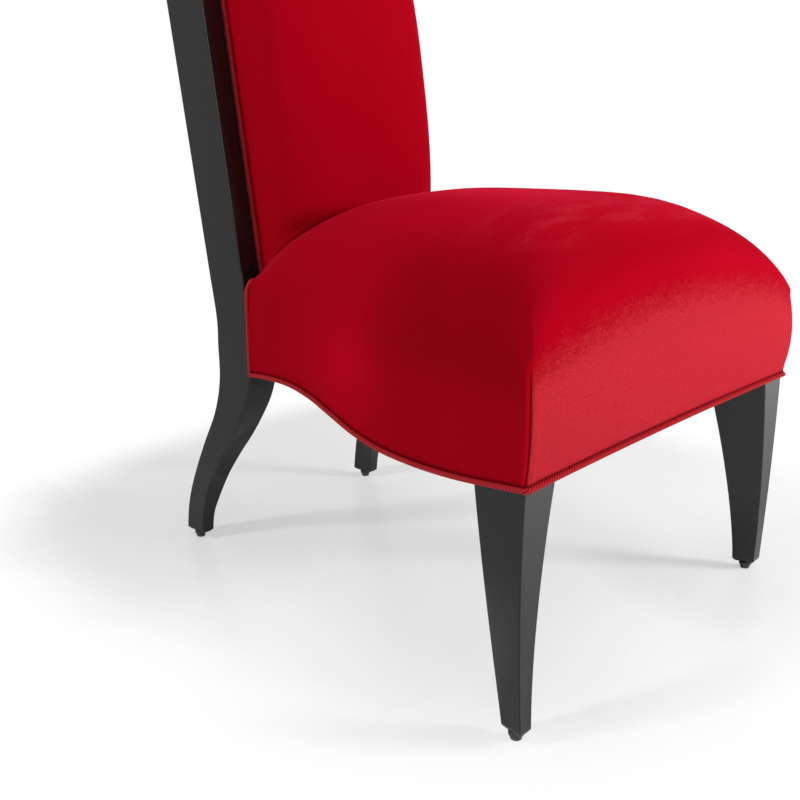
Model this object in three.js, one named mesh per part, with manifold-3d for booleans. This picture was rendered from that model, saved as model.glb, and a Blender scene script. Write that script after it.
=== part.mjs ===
// A slipper chair: a black lacquered frame with sabre rear legs, a domed tight seat and a crowned back.
// Units are millimetres and Z is up. The sitter faces -Y, so the sitter's right side is at -X.
import * as THREE from 'three';
import { mergeVertices } from 'three/addons/utils/BufferGeometryUtils.js';
import Module from 'manifold-3d';

const wasm = await Module();
wasm.setup();

// Overall sizes of the frame.
const FRAME_HEIGHT = 962;
const REAR_WIDTH = 356;
const FRONT_WIDTH = 552.4;
const SEAT_FRAME_DEPTH = 495.5;
const RAIL_TOP = 345;
const KNEE_HEIGHT = 300;
const RAKE_START = 340;
const RAKE_DEG = 9.2;

// Clearances between pieces that touch, and how far a cut runs past what it cuts.
const TOUCH = 0.3;
const UPHOLSTERY_GAP = 0.6;
const OVERRUN = 4;

// Rear leg and back post, sawn from one board.
const POST_THICKNESS = 44.6;
const POST_DEPTH = 64.5;
const POST_TOP_DEPTH = 72;
const LEG_REACH = 155.5;
const FOOT_HEIGHT = 10;
const EDGE_CHAMFER = 1.5;
const FOOT_CHAMFER = 3;

// Front leg.
const LEG_TOP_WIDTH = 47.3;
const LEG_TOP_DEPTH = 71.5;
const LEG_FOOT_WIDTH = 19;
const LEG_FOOT_DEPTH = 27.5;
const LEG_LEAN = 6.5;

// Glides.
const GLIDE_RADIUS = 6;
const GLIDE_HEIGHT = 5;
const GLIDE_FLANGE_RADIUS = 8;
const GLIDE_EDGE = 1;
const GLIDE_SHANK_RADIUS = 1.6;
const GLIDE_SHANK_LENGTH = 16;

// Seat rails, corner blocks and back rails.
const RAIL_THICKNESS = 25;
const RAIL_SETBACK = 1.8;
const APRON_LOW = 240;
const APRON_SWING = 30;
const FRONT_APRON_HEIGHT = 262;
const FRONT_APRON_ARCH = 3;
const BLOCK_HEIGHT = 45;
const BLOCK_REACH = 82;
const BLOCK_DROP = 8;
const LOWER_RAIL_HEIGHT = 30;
const LOWER_RAIL_RISE = 34;
const LOWER_RAIL_THICKNESS = 22;
const CREST_HEIGHT = 58;
const CREST_ARCH = 16;

// Seat upholstery.
const COVER = 2;
const SEAT_EDGE_HEIGHT = 366;
const SEAT_CROWN = 131.5;
const SEAT_PADDING = 1.6;
const SEAT_FRONT_SWELL = 5;
const SEAT_SIDE_SWELL = 2.5;
const SEAT_CROWN_PLACE = 351;
const SEAT_BACK_GAP = 6;
const SEAT_TUCK = 10;
const PIPING_RADIUS = 2.7;
const DUST_COVER = 1;

// Back upholstery.
const BACK_CROWN = 88;
const BACK_SIDE_MARGIN = 26.5;
const BACK_TOP_MARGIN = 42;
const BACK_CORNER_RADIUS = 16;
const BACK_PANEL = 9;
const BACK_BOARD = 3;
const BACK_BOARD_INSET = 5;

// Webbing.
const WEB_WIDTH = 50;
const WEB_THICKNESS = 1.5;
const WEB_HOLD = 18;
const WEB_MARGIN = 12;
const DECK_CLOTH = 1;

// Screws and dowels.
const SCREW_RADIUS = 2;
const SCREW_HEAD_RADIUS = 4;
const SCREW_HEAD = 3;
const SCREW_LENGTH = 34;
const SCREW_GRIP = 14;
const SCREW_MARGIN = 20;
const PANEL_SCREW_LENGTH = 22;
const DOWEL_RADIUS = 5;
const DOWEL_LENGTH = 50;

// How round the curves are: powers of the crowns across and along each pad, and of the leg's taper.
const SEAT_ACROSS_POWER = 2.2;
const SEAT_ALONG_POWER = 3.1;
const BACK_ACROSS_POWER = 4;
const BACK_ALONG_POWER = 2;
const LEG_WIDTH_POWER = 1.45;
const LEG_DEPTH_POWER = 1.2;
const LEG_BOW_SHARE = 2.8;

// Counts.
const LONG_WEBS = 4;
const CROSS_WEBS = 4;
const POST_STEPS = 26;
const LEG_STEPS = 8;
const BOARD_STEPS = 12;
const PIPING_STEPS = 22;
const TRIM_SIDES = 6;
const ROUND_SIDES = 10;
const CROWN_RINGS = 9;
const SKIRT_ROWS = 4;
const EDGE_POINTS = 10;
const CORNER_POINTS = 4;
const SHOULDER_DEG = 33;

// Places that follow from the sizes above.
const postOuter = REAR_WIDTH / 2;
const postInner = postOuter - POST_THICKNESS;
const legOuter = FRONT_WIDTH / 2;
const railRear = postOuter - RAIL_SETBACK;
const sideSlope = (legOuter - railRear) / SEAT_FRAME_DEPTH;
const sideFactor = Math.hypot(1, sideSlope);
const rake = THREE.MathUtils.degToRad(RAKE_DEG);
const pipingOffset = SEAT_PADDING + PIPING_RADIUS / 2;
const seatRear = -SEAT_BACK_GAP;
const seatMiddle = -SEAT_CROWN_PLACE;
const railFront = -SEAT_FRAME_DEPTH;
const webTop = RAIL_TOP + TOUCH + 2 * WEB_THICKNESS + TOUCH;
const deckLow = webTop + TOUCH;
const deckTop = deckLow + DECK_CLOTH;
const coverRise = 2 * PIPING_RADIUS + TOUCH;
const coverGrow = TOUCH + SEAT_PADDING + TOUCH + COVER;
const railRise = 2 * TOUCH + DUST_COVER;

const finishes = {
  lacquer: { color: 0x0b0b0c, roughness: 0.22, metalness: 0 },
  hardwood: { color: 0xb48a5a, roughness: 0.7, metalness: 0 },
  plywood: { color: 0xc8a878, roughness: 0.75, metalness: 0 },
  velvet: { color: 0xa8001c, roughness: 0.85, metalness: 0 },
  piping: { color: 0xb41a1a, roughness: 0.8, metalness: 0 },
  foam: { color: 0xe6dcae, roughness: 0.95, metalness: 0 },
  webbing: { color: 0x8a7350, roughness: 0.9, metalness: 0 },
  hessian: { color: 0x9c8558, roughness: 0.95, metalness: 0 },
  dustcloth: { color: 0x141414, roughness: 0.95, metalness: 0 },
  steel: { color: 0x9a9a9a, roughness: 0.4, metalness: 1 },
  glide: { color: 0x101010, roughness: 0.45, metalness: 0 },
};

// While it is built, the chair's Y is zero at the front faces of the back posts.
const chair = new THREE.Group();

function addPiece(name, geometry, finish) {
  const mesh = new THREE.Mesh(geometry, new THREE.MeshStandardMaterial(finishes[finish]));
  mesh.name = name;
  chair.add(mesh);
}

function addPair(name, geometry, finish) {
  addPiece(`right_${name}`, geometry, finish);
  addPiece(`left_${name}`, mirrored(geometry), finish);
}

// Closed meshes: making, turning and cutting them.
function meshOf(points, faces) {
  const geometry = new THREE.BufferGeometry().setFromPoints(points);
  geometry.setIndex(faces);
  return enclosedVolume(points, faces) < 0 ? turnedInsideOut(geometry) : geometry;
}

function enclosedVolume(points, faces) {
  let total = 0;
  for (let k = 0; k < faces.length; k += 3) {
    const [a, b, c] = [points[faces[k]], points[faces[k + 1]], points[faces[k + 2]]];
    total += a.dot(b.clone().cross(c));
  }
  return total;
}

function turnedInsideOut(geometry) {
  const index = geometry.index.array;
  for (let k = 0; k < index.length; k += 3) {
    [index[k], index[k + 1]] = [index[k + 1], index[k]];
  }
  return geometry;
}

function mirrored(geometry) {
  return turnedInsideOut(geometry.clone().scale(-1, 1, 1));
}

function toSolid(geometry) {
  const bare = geometry.clone();
  bare.deleteAttribute('normal');
  bare.deleteAttribute('uv');
  const merged = mergeVertices(bare);
  return new wasm.Manifold(new wasm.Mesh({
    numProp: 3,
    vertProperties: new Float32Array(merged.attributes.position.array),
    triVerts: new Uint32Array(merged.index.array),
  }));
}

function toGeometry(body) {
  const { vertProperties, triVerts } = body.getMesh();
  const geometry = new THREE.BufferGeometry();
  geometry.setAttribute('position', new THREE.BufferAttribute(new Float32Array(vertProperties), 3));
  geometry.setIndex(new THREE.BufferAttribute(new Uint32Array(triVerts), 1));
  return geometry;
}

function cut(geometry, cutters) {
  return toGeometry(cutters.reduce((body, cutter) => body.subtract(toSolid(cutter)), toSolid(geometry)));
}

// A body through a row of like rings, closed at both ends.
function loft(rings) {
  const sides = rings[0].length;
  const faces = [];
  for (let row = 0; row + 1 < rings.length; row += 1) {
    for (let k = 0; k < sides; k += 1) {
      const a = row * sides + k;
      const b = row * sides + ((k + 1) % sides);
      faces.push(a, b, b + sides, a, b + sides, a + sides);
    }
  }
  const last = (rings.length - 1) * sides;
  for (let k = 1; k + 1 < sides; k += 1) {
    faces.push(0, k + 1, k, last, last + k, last + k + 1);
  }
  return meshOf(rings.flat(), faces);
}

// The faces of a dome whose pole is the point at a place in a list and whose rings follow it.
function domeFaces(first, rings) {
  const count = rings[0].length;
  const faces = [];
  for (let k = 0; k < count; k += 1) {
    const next = (k + 1) % count;
    faces.push(first, first + 1 + k, first + 1 + next);
    for (let row = 0; row + 1 < rings.length; row += 1) {
      const a = first + 1 + row * count + k;
      const b = first + 1 + row * count + next;
      faces.push(a, a + count, b + count, a, b + count, b);
    }
  }
  return faces;
}

// A solid under a dome, closed by a low pole.
function dome({ pole, rings }, lowPole) {
  const points = [pole, ...rings.flat(), lowPole];
  const faces = domeFaces(0, rings);
  const low = points.length - 1;
  const last = low - rings[0].length;
  rings[0].forEach((_, k) => faces.push(last + k, low, last + ((k + 1) % rings[0].length)));
  return meshOf(points, faces);
}

// A skin between two domes that have like rings, closed along their last rings.
function domeSkin(outer, inner) {
  const points = [outer.pole, ...outer.rings.flat(), inner.pole, ...inner.rings.flat()];
  const [half, count] = [points.length / 2, outer.rings[0].length];
  const faces = [...domeFaces(0, outer.rings), ...domeFaces(half, inner.rings).toReversed()];
  for (let k = 0; k < count; k += 1) {
    const [a, b] = [half - count + k, half - count + ((k + 1) % count)];
    faces.push(a, a + half, b + half, a, b + half, b);
  }
  return meshOf(points, faces);
}

function box(low, high) {
  const size = high.clone().sub(low);
  const middle = high.clone().add(low).divideScalar(2);
  return new THREE.BoxGeometry(size.x, size.y, size.z).translate(middle.x, middle.y, middle.z);
}

// A prism over a plan outline of [x, y] pairs, between two heights.
function prism(outline, low, high) {
  const shape = new THREE.Shape(outline.map(([x, y]) => new THREE.Vector2(x, y)));
  const geometry = new THREE.ExtrudeGeometry(shape, { depth: high - low, bevelEnabled: false });
  return mergeVertices(withoutLooks(geometry)).translate(0, 0, low);
}

function withoutLooks(geometry) {
  geometry.deleteAttribute('normal');
  geometry.deleteAttribute('uv');
  return geometry;
}

// A turned piece along +Z, from [radius, height] pairs that start and end on the axis.
function turning(profile) {
  const lathe = new THREE.LatheGeometry(profile.map(([r, z]) => new THREE.Vector2(r, z)), ROUND_SIDES);
  return mergeVertices(withoutLooks(lathe)).rotateX(Math.PI / 2);
}

function rod(radius, low, high) {
  return turning([[0, low], [radius, low], [radius, high], [0, high]]);
}

// Lays a piece made along +Z from its start at a place along a direction.
function aimed(geometry, place, direction) {
  const turn = new THREE.Quaternion()
    .setFromUnitVectors(new THREE.Vector3(0, 0, 1), direction.clone().normalize());
  return geometry.clone().applyQuaternion(turn).translate(place.x, place.y, place.z);
}

// A four-cornered section with its corners chamfered.
function chamfered(corners) {
  return corners.flatMap((corner, k) => {
    const before = corners[(k + corners.length - 1) % corners.length].clone().sub(corner);
    const after = corners[(k + 1) % corners.length].clone().sub(corner);
    return [before, after].map((edge) => corner.clone().add(edge.setLength(EDGE_CHAMFER)));
  });
}

// A section drawn in towards its middle, for the chamfer round the bottom of a foot.
function drawnIn(ring) {
  const middle = ring.reduce((sum, point) => sum.add(point), new THREE.Vector3()).divideScalar(ring.length);
  return ring.map((point) => point.clone().add(middle.clone().sub(point).setLength(FOOT_CHAMFER)));
}

// The value on a line of points whose x rises, carried on straight past its ends.
function readLine(points, x) {
  const found = points.findIndex((point) => point.x >= x);
  const k = found === -1 ? points.length - 1 : Math.max(found, 1);
  const [a, b] = [points[k - 1], points[k]];
  return a.y + ((b.y - a.y) * (x - a.x)) / (b.x - a.x);
}

// A round cord through a row of points. Each end is square, or mitred on a plane with a given normal.
function cord(points, reference, startMitre, endMitre) {
  const rings = points.map((point, k) => {
    const [before, after] = [points[Math.max(k - 1, 0)], points[Math.min(k + 1, points.length - 1)]];
    const run = after.clone().sub(before).normalize();
    const side = run.clone().cross(reference).normalize();
    const rise = side.clone().cross(run);
    const mitre = [k === 0 && startMitre, k === points.length - 1 && endMitre].find(Boolean) || run;
    return Array.from({ length: TRIM_SIDES }, (_, n) => {
      const angle = (2 * Math.PI * (n + 1 / 2)) / TRIM_SIDES;
      const spoke = side.clone().multiplyScalar(PIPING_RADIUS * Math.cos(angle))
        .addScaledVector(rise, PIPING_RADIUS * Math.sin(angle));
      return point.clone().add(spoke).addScaledVector(run, -spoke.dot(mitre) / run.dot(mitre));
    });
  });
  return loft(rings);
}

function spread(count, low, high) {
  return Array.from({ length: count }, (_, k) => THREE.MathUtils.lerp(low, high, k / (count - 1)));
}

// Rear leg and back post. Below the knee, each row gives the front edge and the rear edge as shares of
// the leg's reach and rise, and the thickness as a share of the post's.
const LEG_EDGE_SHARES = [
  { front: [0.768, 0], rear: [1, 0], thick: 0.43 },
  { front: [0.746, 0.097], rear: [0.968, 0.117], thick: 0.46 },
  { front: [0.691, 0.193], rear: [0.903, 0.228], thick: 0.58 },
  { front: [0.608, 0.303], rear: [0.794, 0.359], thick: 0.73 },
  { front: [0.46, 0.421], rear: [0.659, 0.497], thick: 0.8 },
  { front: [0.28, 0.541], rear: [0.518, 0.631], thick: 0.83 },
  { front: [0.145, 0.652], rear: [0.444, 0.734], thick: 0.89 },
  { front: [0.055, 0.755], rear: [0.41, 0.821], thick: 0.98 },
  { front: [0.006, 0.852], rear: [0.404, 0.89], thick: 1 },
  { front: [0, 0.966], rear: [0.408, 0.972], thick: 1 },
];
const POST_ROW_SHARES = [0, 0.12, 0.4, 0.7, 1];

const postTop = FRAME_HEIGHT - CREST_HEIGHT - CREST_ARCH;

function postRows() {
  const legRise = KNEE_HEIGHT - FOOT_HEIGHT;
  const legRows = LEG_EDGE_SHARES.map(({ front, rear, thick }) => ({
    front: new THREE.Vector2(FOOT_HEIGHT + legRise * front[1], LEG_REACH * front[0]),
    rear: new THREE.Vector2(FOOT_HEIGHT + legRise * rear[1], LEG_REACH * rear[0]),
    thickness: POST_THICKNESS * thick,
  }));
  const upperRows = POST_ROW_SHARES.map((share) => {
    const depth = THREE.MathUtils.lerp(POST_DEPTH, POST_TOP_DEPTH, share);
    const front = new THREE.Vector2(THREE.MathUtils.lerp(RAKE_START, postTop, share), 0);
    front.y = (front.x - RAKE_START) * Math.tan(rake);
    const across = new THREE.Vector2(-Math.sin(rake), Math.cos(rake)).multiplyScalar(depth);
    return { front, rear: front.clone().add(across), thickness: POST_THICKNESS };
  });
  return [...legRows, ...upperRows];
}

const postCurves = {
  front: new THREE.SplineCurve(postRows().map((row) => row.front)),
  rear: new THREE.SplineCurve(postRows().map((row) => row.rear)),
  thickness: new THREE.SplineCurve(postRows().map((row, k) => new THREE.Vector2(k, row.thickness))),
};
const postRearLine = postCurves.rear.getPoints(POST_STEPS * 2);

function postRing(share, grow) {
  const [front, rear] = [postCurves.front.getPoint(share), postCurves.rear.getPoint(share)];
  const thickness = postCurves.thickness.getPoint(share).y;
  const [outer, inner] = [-postOuter - grow, thickness - postOuter + grow];
  return chamfered([
    new THREE.Vector3(outer, front.y - grow, front.x),
    new THREE.Vector3(inner, front.y - grow, front.x),
    new THREE.Vector3(inner, rear.y + grow, rear.x),
    new THREE.Vector3(outer, rear.y + grow, rear.x),
  ]);
}

function postBody(grow = 0) {
  const rings = spread(POST_STEPS + 1, 0, 1).map((share) => postRing(share, grow));
  const lift = new THREE.Vector3(0, 0, FOOT_CHAMFER);
  return loft([drawnIn(rings[0]), rings[0].map((point) => point.clone().add(lift)), ...rings.slice(1)]);
}

const rearFoot = {
  x: -postOuter + (POST_THICKNESS * LEG_EDGE_SHARES[0].thick) / 2,
  y: (LEG_REACH * (LEG_EDGE_SHARES[0].front[0] + LEG_EDGE_SHARES[0].rear[0])) / 2,
};

// The back's own frame: x across, y up the rake from where it starts, z forward from the face.
const backFrame = new THREE.Matrix4()
  .makeBasis(
    new THREE.Vector3(1, 0, 0),
    new THREE.Vector3(0, Math.sin(rake), Math.cos(rake)),
    new THREE.Vector3(0, -Math.cos(rake), Math.sin(rake)),
  )
  .setPosition(0, 0, RAKE_START);
const forward = new THREE.Vector3(0, 0, 1).transformDirection(backFrame);
const upRake = new THREE.Vector3(0, 1, 0).transformDirection(backFrame);

function backSlab(halfWidth, low, high, rear, front) {
  return box(new THREE.Vector3(-halfWidth, low, rear), new THREE.Vector3(halfWidth, high, front))
    .applyMatrix4(backFrame);
}

const crestLow = (postTop - RAKE_START) / Math.cos(rake);
const crestTop = crestLow + CREST_HEIGHT;
const panelHalf = postOuter - BACK_SIDE_MARGIN - TOUCH;
const panelLow = LOWER_RAIL_RISE;
const panelHigh = crestTop - BACK_TOP_MARGIN;

function panelRecess() {
  const rear = -BACK_PANEL - 2 * TOUCH;
  return backSlab(panelHalf + TOUCH, panelLow - TOUCH, panelHigh + TOUCH, rear, OVERRUN);
}

function crestRail() {
  const shape = new THREE.Shape();
  shape.moveTo(-postOuter, crestLow + TOUCH);
  shape.lineTo(postOuter, crestLow + TOUCH);
  shape.lineTo(postOuter, crestTop);
  shape.quadraticCurveTo(0, crestTop + 2 * CREST_ARCH, -postOuter, crestTop);
  const settings = { depth: POST_TOP_DEPTH, bevelEnabled: false, curveSegments: BOARD_STEPS };
  return mergeVertices(withoutLooks(new THREE.ExtrudeGeometry(shape, settings)))
    .translate(0, 0, -POST_TOP_DEPTH)
    .applyMatrix4(backFrame);
}

const DOWEL_PLACE_SHARES = [0.27, 0.73];

function dowelPlace(share) {
  const middle = -postOuter + POST_THICKNESS / 2;
  return new THREE.Vector3(middle, crestLow, -POST_TOP_DEPTH * share).applyMatrix4(backFrame);
}

function crestDowel(share, grow) {
  const half = DOWEL_LENGTH / 2 + grow;
  return aimed(rod(DOWEL_RADIUS + grow, -half, half), dowelPlace(share), upRake);
}

// Screws, made along +Z from the head, and the hole that each one needs.
function screw(length) {
  return turning([
    [0, 0], [SCREW_HEAD_RADIUS, 0], [SCREW_RADIUS, SCREW_HEAD], [SCREW_RADIUS, length], [0, length],
  ]);
}

function screwHole(length, headroom) {
  const [head, shank] = [SCREW_HEAD_RADIUS + TOUCH, SCREW_RADIUS + TOUCH];
  return turning([
    [0, -headroom], [head, -headroom], [head, TOUCH], [shank, SCREW_HEAD + TOUCH],
    [shank, length + TOUCH], [0, length + TOUCH],
  ]);
}

const PANEL_SCREW_SHARES = [0.12, 0.5, 0.88];

function panelScrew(share, geometry) {
  const across = -(panelHalf + postInner) / 2;
  const up = THREE.MathUtils.lerp(panelLow, panelHigh, share);
  const place = new THREE.Vector3(across, up, -2 * TOUCH).applyMatrix4(backFrame);
  return aimed(geometry, place, forward.clone().negate());
}

function panelScrewHoles() {
  return PANEL_SCREW_SHARES.map((share) => panelScrew(share, screwHole(PANEL_SCREW_LENGTH, OVERRUN)));
}

// Side rails: their outer face, and the low line of the apron as shares of the run and of the swing.
function railX(y) {
  return railRear - sideSlope * y;
}

function railInnerX(y) {
  return railX(y) - RAIL_THICKNESS * sideFactor;
}

const APRON_SHARES = [
  [0, 0.7], [0.1, 0.92], [0.2, 1], [0.29, 0.86], [0.37, 0.56], [0.46, 0.21],
  [0.54, 0.04], [0.61, 0], [0.72, 0.08], [0.84, 0.3],
];
const apronCurve = new THREE.SplineCurve([
  ...APRON_SHARES.map(([run, rise]) => new THREE.Vector2(
    SEAT_FRAME_DEPTH * run,
    APRON_LOW + APRON_SWING * rise,
  )),
  new THREE.Vector2(SEAT_FRAME_DEPTH, FRONT_APRON_HEIGHT),
]);
const apronLine = apronCurve.getPoints(PIPING_STEPS * 2);

// The apron's low line on the side, at a place along the chair.
function sideApron(y) {
  return readLine(apronLine, THREE.MathUtils.clamp(-y, 0, SEAT_FRAME_DEPTH));
}

function frontApron(x) {
  return FRONT_APRON_HEIGHT + FRONT_APRON_ARCH * (1 - (x / legOuter) ** 2);
}

// Front leg: a four-sided taper whose outer side runs along the seat's side.
const legTop = FRONT_APRON_HEIGHT;
const sideRun = new THREE.Vector3(sideSlope, 1, 0).normalize();

function legSize(z) {
  const rise = THREE.MathUtils.clamp((z - FOOT_HEIGHT) / (legTop - FOOT_HEIGHT), 0, 1);
  return {
    width: THREE.MathUtils.lerp(LEG_FOOT_WIDTH, LEG_TOP_WIDTH, rise ** LEG_WIDTH_POWER),
    depth: THREE.MathUtils.lerp(LEG_FOOT_DEPTH, LEG_TOP_DEPTH, rise ** LEG_DEPTH_POWER),
    lean: LEG_LEAN * (1 - rise) * (1 - LEG_BOW_SHARE * rise),
  };
}

function legRing(z, grow) {
  const { width, depth, lean } = legSize(z);
  const corner = new THREE.Vector3(lean - legOuter, railFront, z);
  const across = new THREE.Vector3(width, 0, 0);
  const along = sideRun.clone().multiplyScalar(depth);
  return chamfered([
    corner.clone().add(new THREE.Vector3(-grow, -grow, 0)),
    corner.clone().add(across).add(new THREE.Vector3(grow, -grow, 0)),
    corner.clone().add(across).add(along).add(new THREE.Vector3(grow, grow, 0)),
    corner.clone().add(along).add(new THREE.Vector3(-grow, grow, 0)),
  ]);
}

function legBody(grow = 0) {
  const flared = spread(LEG_STEPS + 1, FOOT_HEIGHT + FOOT_CHAMFER, legTop).map((z) => legRing(z, grow));
  return loft([drawnIn(legRing(FOOT_HEIGHT, grow)), ...flared, legRing(RAIL_TOP, grow)]);
}

const frontFoot = new THREE.Vector3(
  LEG_LEAN - legOuter + LEG_FOOT_WIDTH / 2,
  railFront,
  0,
).addScaledVector(sideRun, LEG_FOOT_DEPTH / 2);

// A glide with its nail, and the hole for the nail.
function glide({ x, y }) {
  return turning([
    [0, 0], [GLIDE_RADIUS - GLIDE_EDGE, 0], [GLIDE_RADIUS, GLIDE_EDGE], [GLIDE_RADIUS, GLIDE_HEIGHT],
    [GLIDE_FLANGE_RADIUS, GLIDE_HEIGHT], [GLIDE_FLANGE_RADIUS, FOOT_HEIGHT - TOUCH],
    [GLIDE_SHANK_RADIUS, FOOT_HEIGHT - TOUCH], [GLIDE_SHANK_RADIUS, FOOT_HEIGHT + GLIDE_SHANK_LENGTH],
    [0, FOOT_HEIGHT + GLIDE_SHANK_LENGTH],
  ]).translate(x, y, 0);
}

function glideHole({ x, y }) {
  const top = FOOT_HEIGHT + GLIDE_SHANK_LENGTH + TOUCH;
  return rod(GLIDE_SHANK_RADIUS + TOUCH, FOOT_HEIGHT - OVERRUN, top).translate(x, y, 0);
}

// Rails of the seat frame. The leg behind each front corner stands inside them.
const legRear = railFront + LEG_TOP_DEPTH * sideRun.y + TOUCH;
const legInner = legOuter - LEG_TOP_WIDTH;
const kneeRear = Math.min(...postRearLine.filter(({ x }) => x > APRON_LOW).map(({ y }) => y));
const rearBoardFace = kneeRear - BACK_BOARD_INSET - COVER - BACK_BOARD - 2 * TOUCH;

function sideRail() {
  const rings = spread(PIPING_STEPS + 1, OVERRUN, legRear).map((y) => {
    const low = sideApron(y) + railRise;
    return [
      new THREE.Vector3(-railX(y), y, low),
      new THREE.Vector3(-railX(y), y, RAIL_TOP),
      new THREE.Vector3(-railInnerX(y), y, RAIL_TOP),
      new THREE.Vector3(-railInnerX(y), y, low),
    ];
  });
  return loft(rings);
}

function frontRail() {
  const clothBehind = sideApron(railFront + RAIL_THICKNESS);
  const rings = spread(BOARD_STEPS + 1, TOUCH - legInner, legInner - TOUCH).map((x) => {
    const low = Math.max(frontApron(x), clothBehind) + railRise;
    return [
      new THREE.Vector3(x, railFront, low),
      new THREE.Vector3(x, railFront, RAIL_TOP),
      new THREE.Vector3(x, railFront + RAIL_THICKNESS, RAIL_TOP),
      new THREE.Vector3(x, railFront + RAIL_THICKNESS, low),
    ];
  });
  return loft(rings);
}

function rearRail() {
  const half = postInner - TOUCH;
  return box(
    new THREE.Vector3(-half, rearBoardFace - RAIL_THICKNESS, sideApron(0) + railRise),
    new THREE.Vector3(half, rearBoardFace, RAIL_TOP),
  );
}

function lowerBackRail() {
  const front = -BACK_PANEL - 2 * TOUCH;
  const rear = front - LOWER_RAIL_THICKNESS;
  return backSlab(postInner - TOUCH, panelLow, panelLow + LOWER_RAIL_HEIGHT, rear, front);
}

// Corner blocks: a triangle in the corner of two rails, and a screw into each rail.
const blocks = {
  front: { face: railFront + RAIL_THICKNESS + TOUCH, turn: 1 },
  rear: { face: rearBoardFace - RAIL_THICKNESS - TOUCH, turn: -1 },
};

function cornerBlock({ face, turn }) {
  const inner = (y) => -railInnerX(y) + TOUCH * sideFactor;
  const tip = face + turn * BLOCK_REACH;
  const outline = [[inner(face), face], [inner(face) + BLOCK_REACH, face], [inner(tip), tip]];
  const top = RAIL_TOP - BLOCK_DROP;
  return prism(turn > 0 ? outline : outline.toReversed(), top - BLOCK_HEIGHT, top);
}

function blockScrewPlaces({ face, turn }) {
  const height = RAIL_TOP - BLOCK_DROP - BLOCK_HEIGHT / 2;
  const depth = SCREW_LENGTH - SCREW_GRIP;
  const sideY = face + turn * (BLOCK_REACH - SCREW_MARGIN);
  const outward = new THREE.Vector3(-1, sideSlope, 0).normalize();
  const across = new THREE.Vector3(0, -turn, 0);
  const onSide = new THREE.Vector3(-railInnerX(sideY), sideY, height);
  const onCross = new THREE.Vector3(BLOCK_REACH - SCREW_MARGIN - railInnerX(face), face, height);
  return [
    { end: 'side', place: onSide.addScaledVector(outward, -depth), direction: outward },
    { end: 'cross', place: onCross.addScaledVector(across, -depth), direction: across },
  ];
}

function blockScrewHoles(block) {
  return blockScrewPlaces(block)
    .map(({ place, direction }) => aimed(screwHole(SCREW_LENGTH, BLOCK_REACH), place, direction));
}

// Webbing: straps from front to rear, and straps across that go over and under them in turn.
const longWebRear = spread(LONG_WEBS, -1, 1).map((side) => side * (postInner - WEB_WIDTH / 2 - WEB_MARGIN));
const longWebFront = spread(LONG_WEBS, -1, 1).map((side) => side * (legInner - 2 * WEB_WIDTH));
const webLow = RAIL_TOP + TOUCH;
const webFrontEnd = railFront + WEB_HOLD;
const webRearEnd = rearBoardFace - RAIL_THICKNESS + WEB_HOLD;

function strapRing(centre, widthways, low) {
  const half = widthways.clone().multiplyScalar(WEB_WIDTH / 2);
  const [left, right] = [centre.clone().sub(half), centre.clone().add(half)];
  const top = low + WEB_THICKNESS;
  return [left.clone().setZ(low), right.clone().setZ(low), right.clone().setZ(top), left.clone().setZ(top)];
}

function longWeb(k) {
  const ends = [[longWebFront[k], webFrontEnd], [longWebRear[k], webRearEnd]];
  const acrossX = new THREE.Vector3(1, 0, 0);
  return loft(ends.map(([x, y]) => strapRing(new THREE.Vector3(x, y, 0), acrossX, webLow)));
}

function crossWeb(k) {
  const y = THREE.MathUtils.lerp(webFrontEnd, 0, (k + 1) / (CROSS_WEBS + 1));
  const share = (y - webFrontEnd) / (webRearEnd - webFrontEnd);
  const hold = railX(y) - WEB_HOLD;
  const weave = WEB_THICKNESS + TOUCH;
  const crossings = longWebFront.flatMap((front, n) => {
    const middle = THREE.MathUtils.lerp(front, longWebRear[n], share);
    const reach = WEB_WIDTH / 2 + OVERRUN;
    const low = webLow + ((n + k) % 2 === 0 ? weave : -weave);
    return [[middle - reach, low], [middle + reach, low]];
  });
  const landing = railInnerX(y) - OVERRUN;
  const stations = [[-hold, webLow], [-landing, webLow], ...crossings, [landing, webLow], [hold, webLow]];
  const alongY = new THREE.Vector3(0, 1, 0);
  return loft(stations.map(([x, low]) => strapRing(new THREE.Vector3(x, y, 0), alongY, low)));
}

function deckCloth() {
  const [front, rear] = [webFrontEnd - WEB_HOLD / 2, webRearEnd];
  const hold = TOUCH + WEB_HOLD / 2;
  const outline = [
    [-railX(front) + hold, front], [railX(front) - hold, front], [railX(seatRear) - hold, seatRear],
    [postInner - TOUCH, seatRear], [postInner - TOUCH, rear],
    [TOUCH - postInner, rear], [TOUCH - postInner, seatRear], [hold - railX(seatRear), seatRear],
  ];
  return prism(outline, deckLow, deckTop);
}

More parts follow.
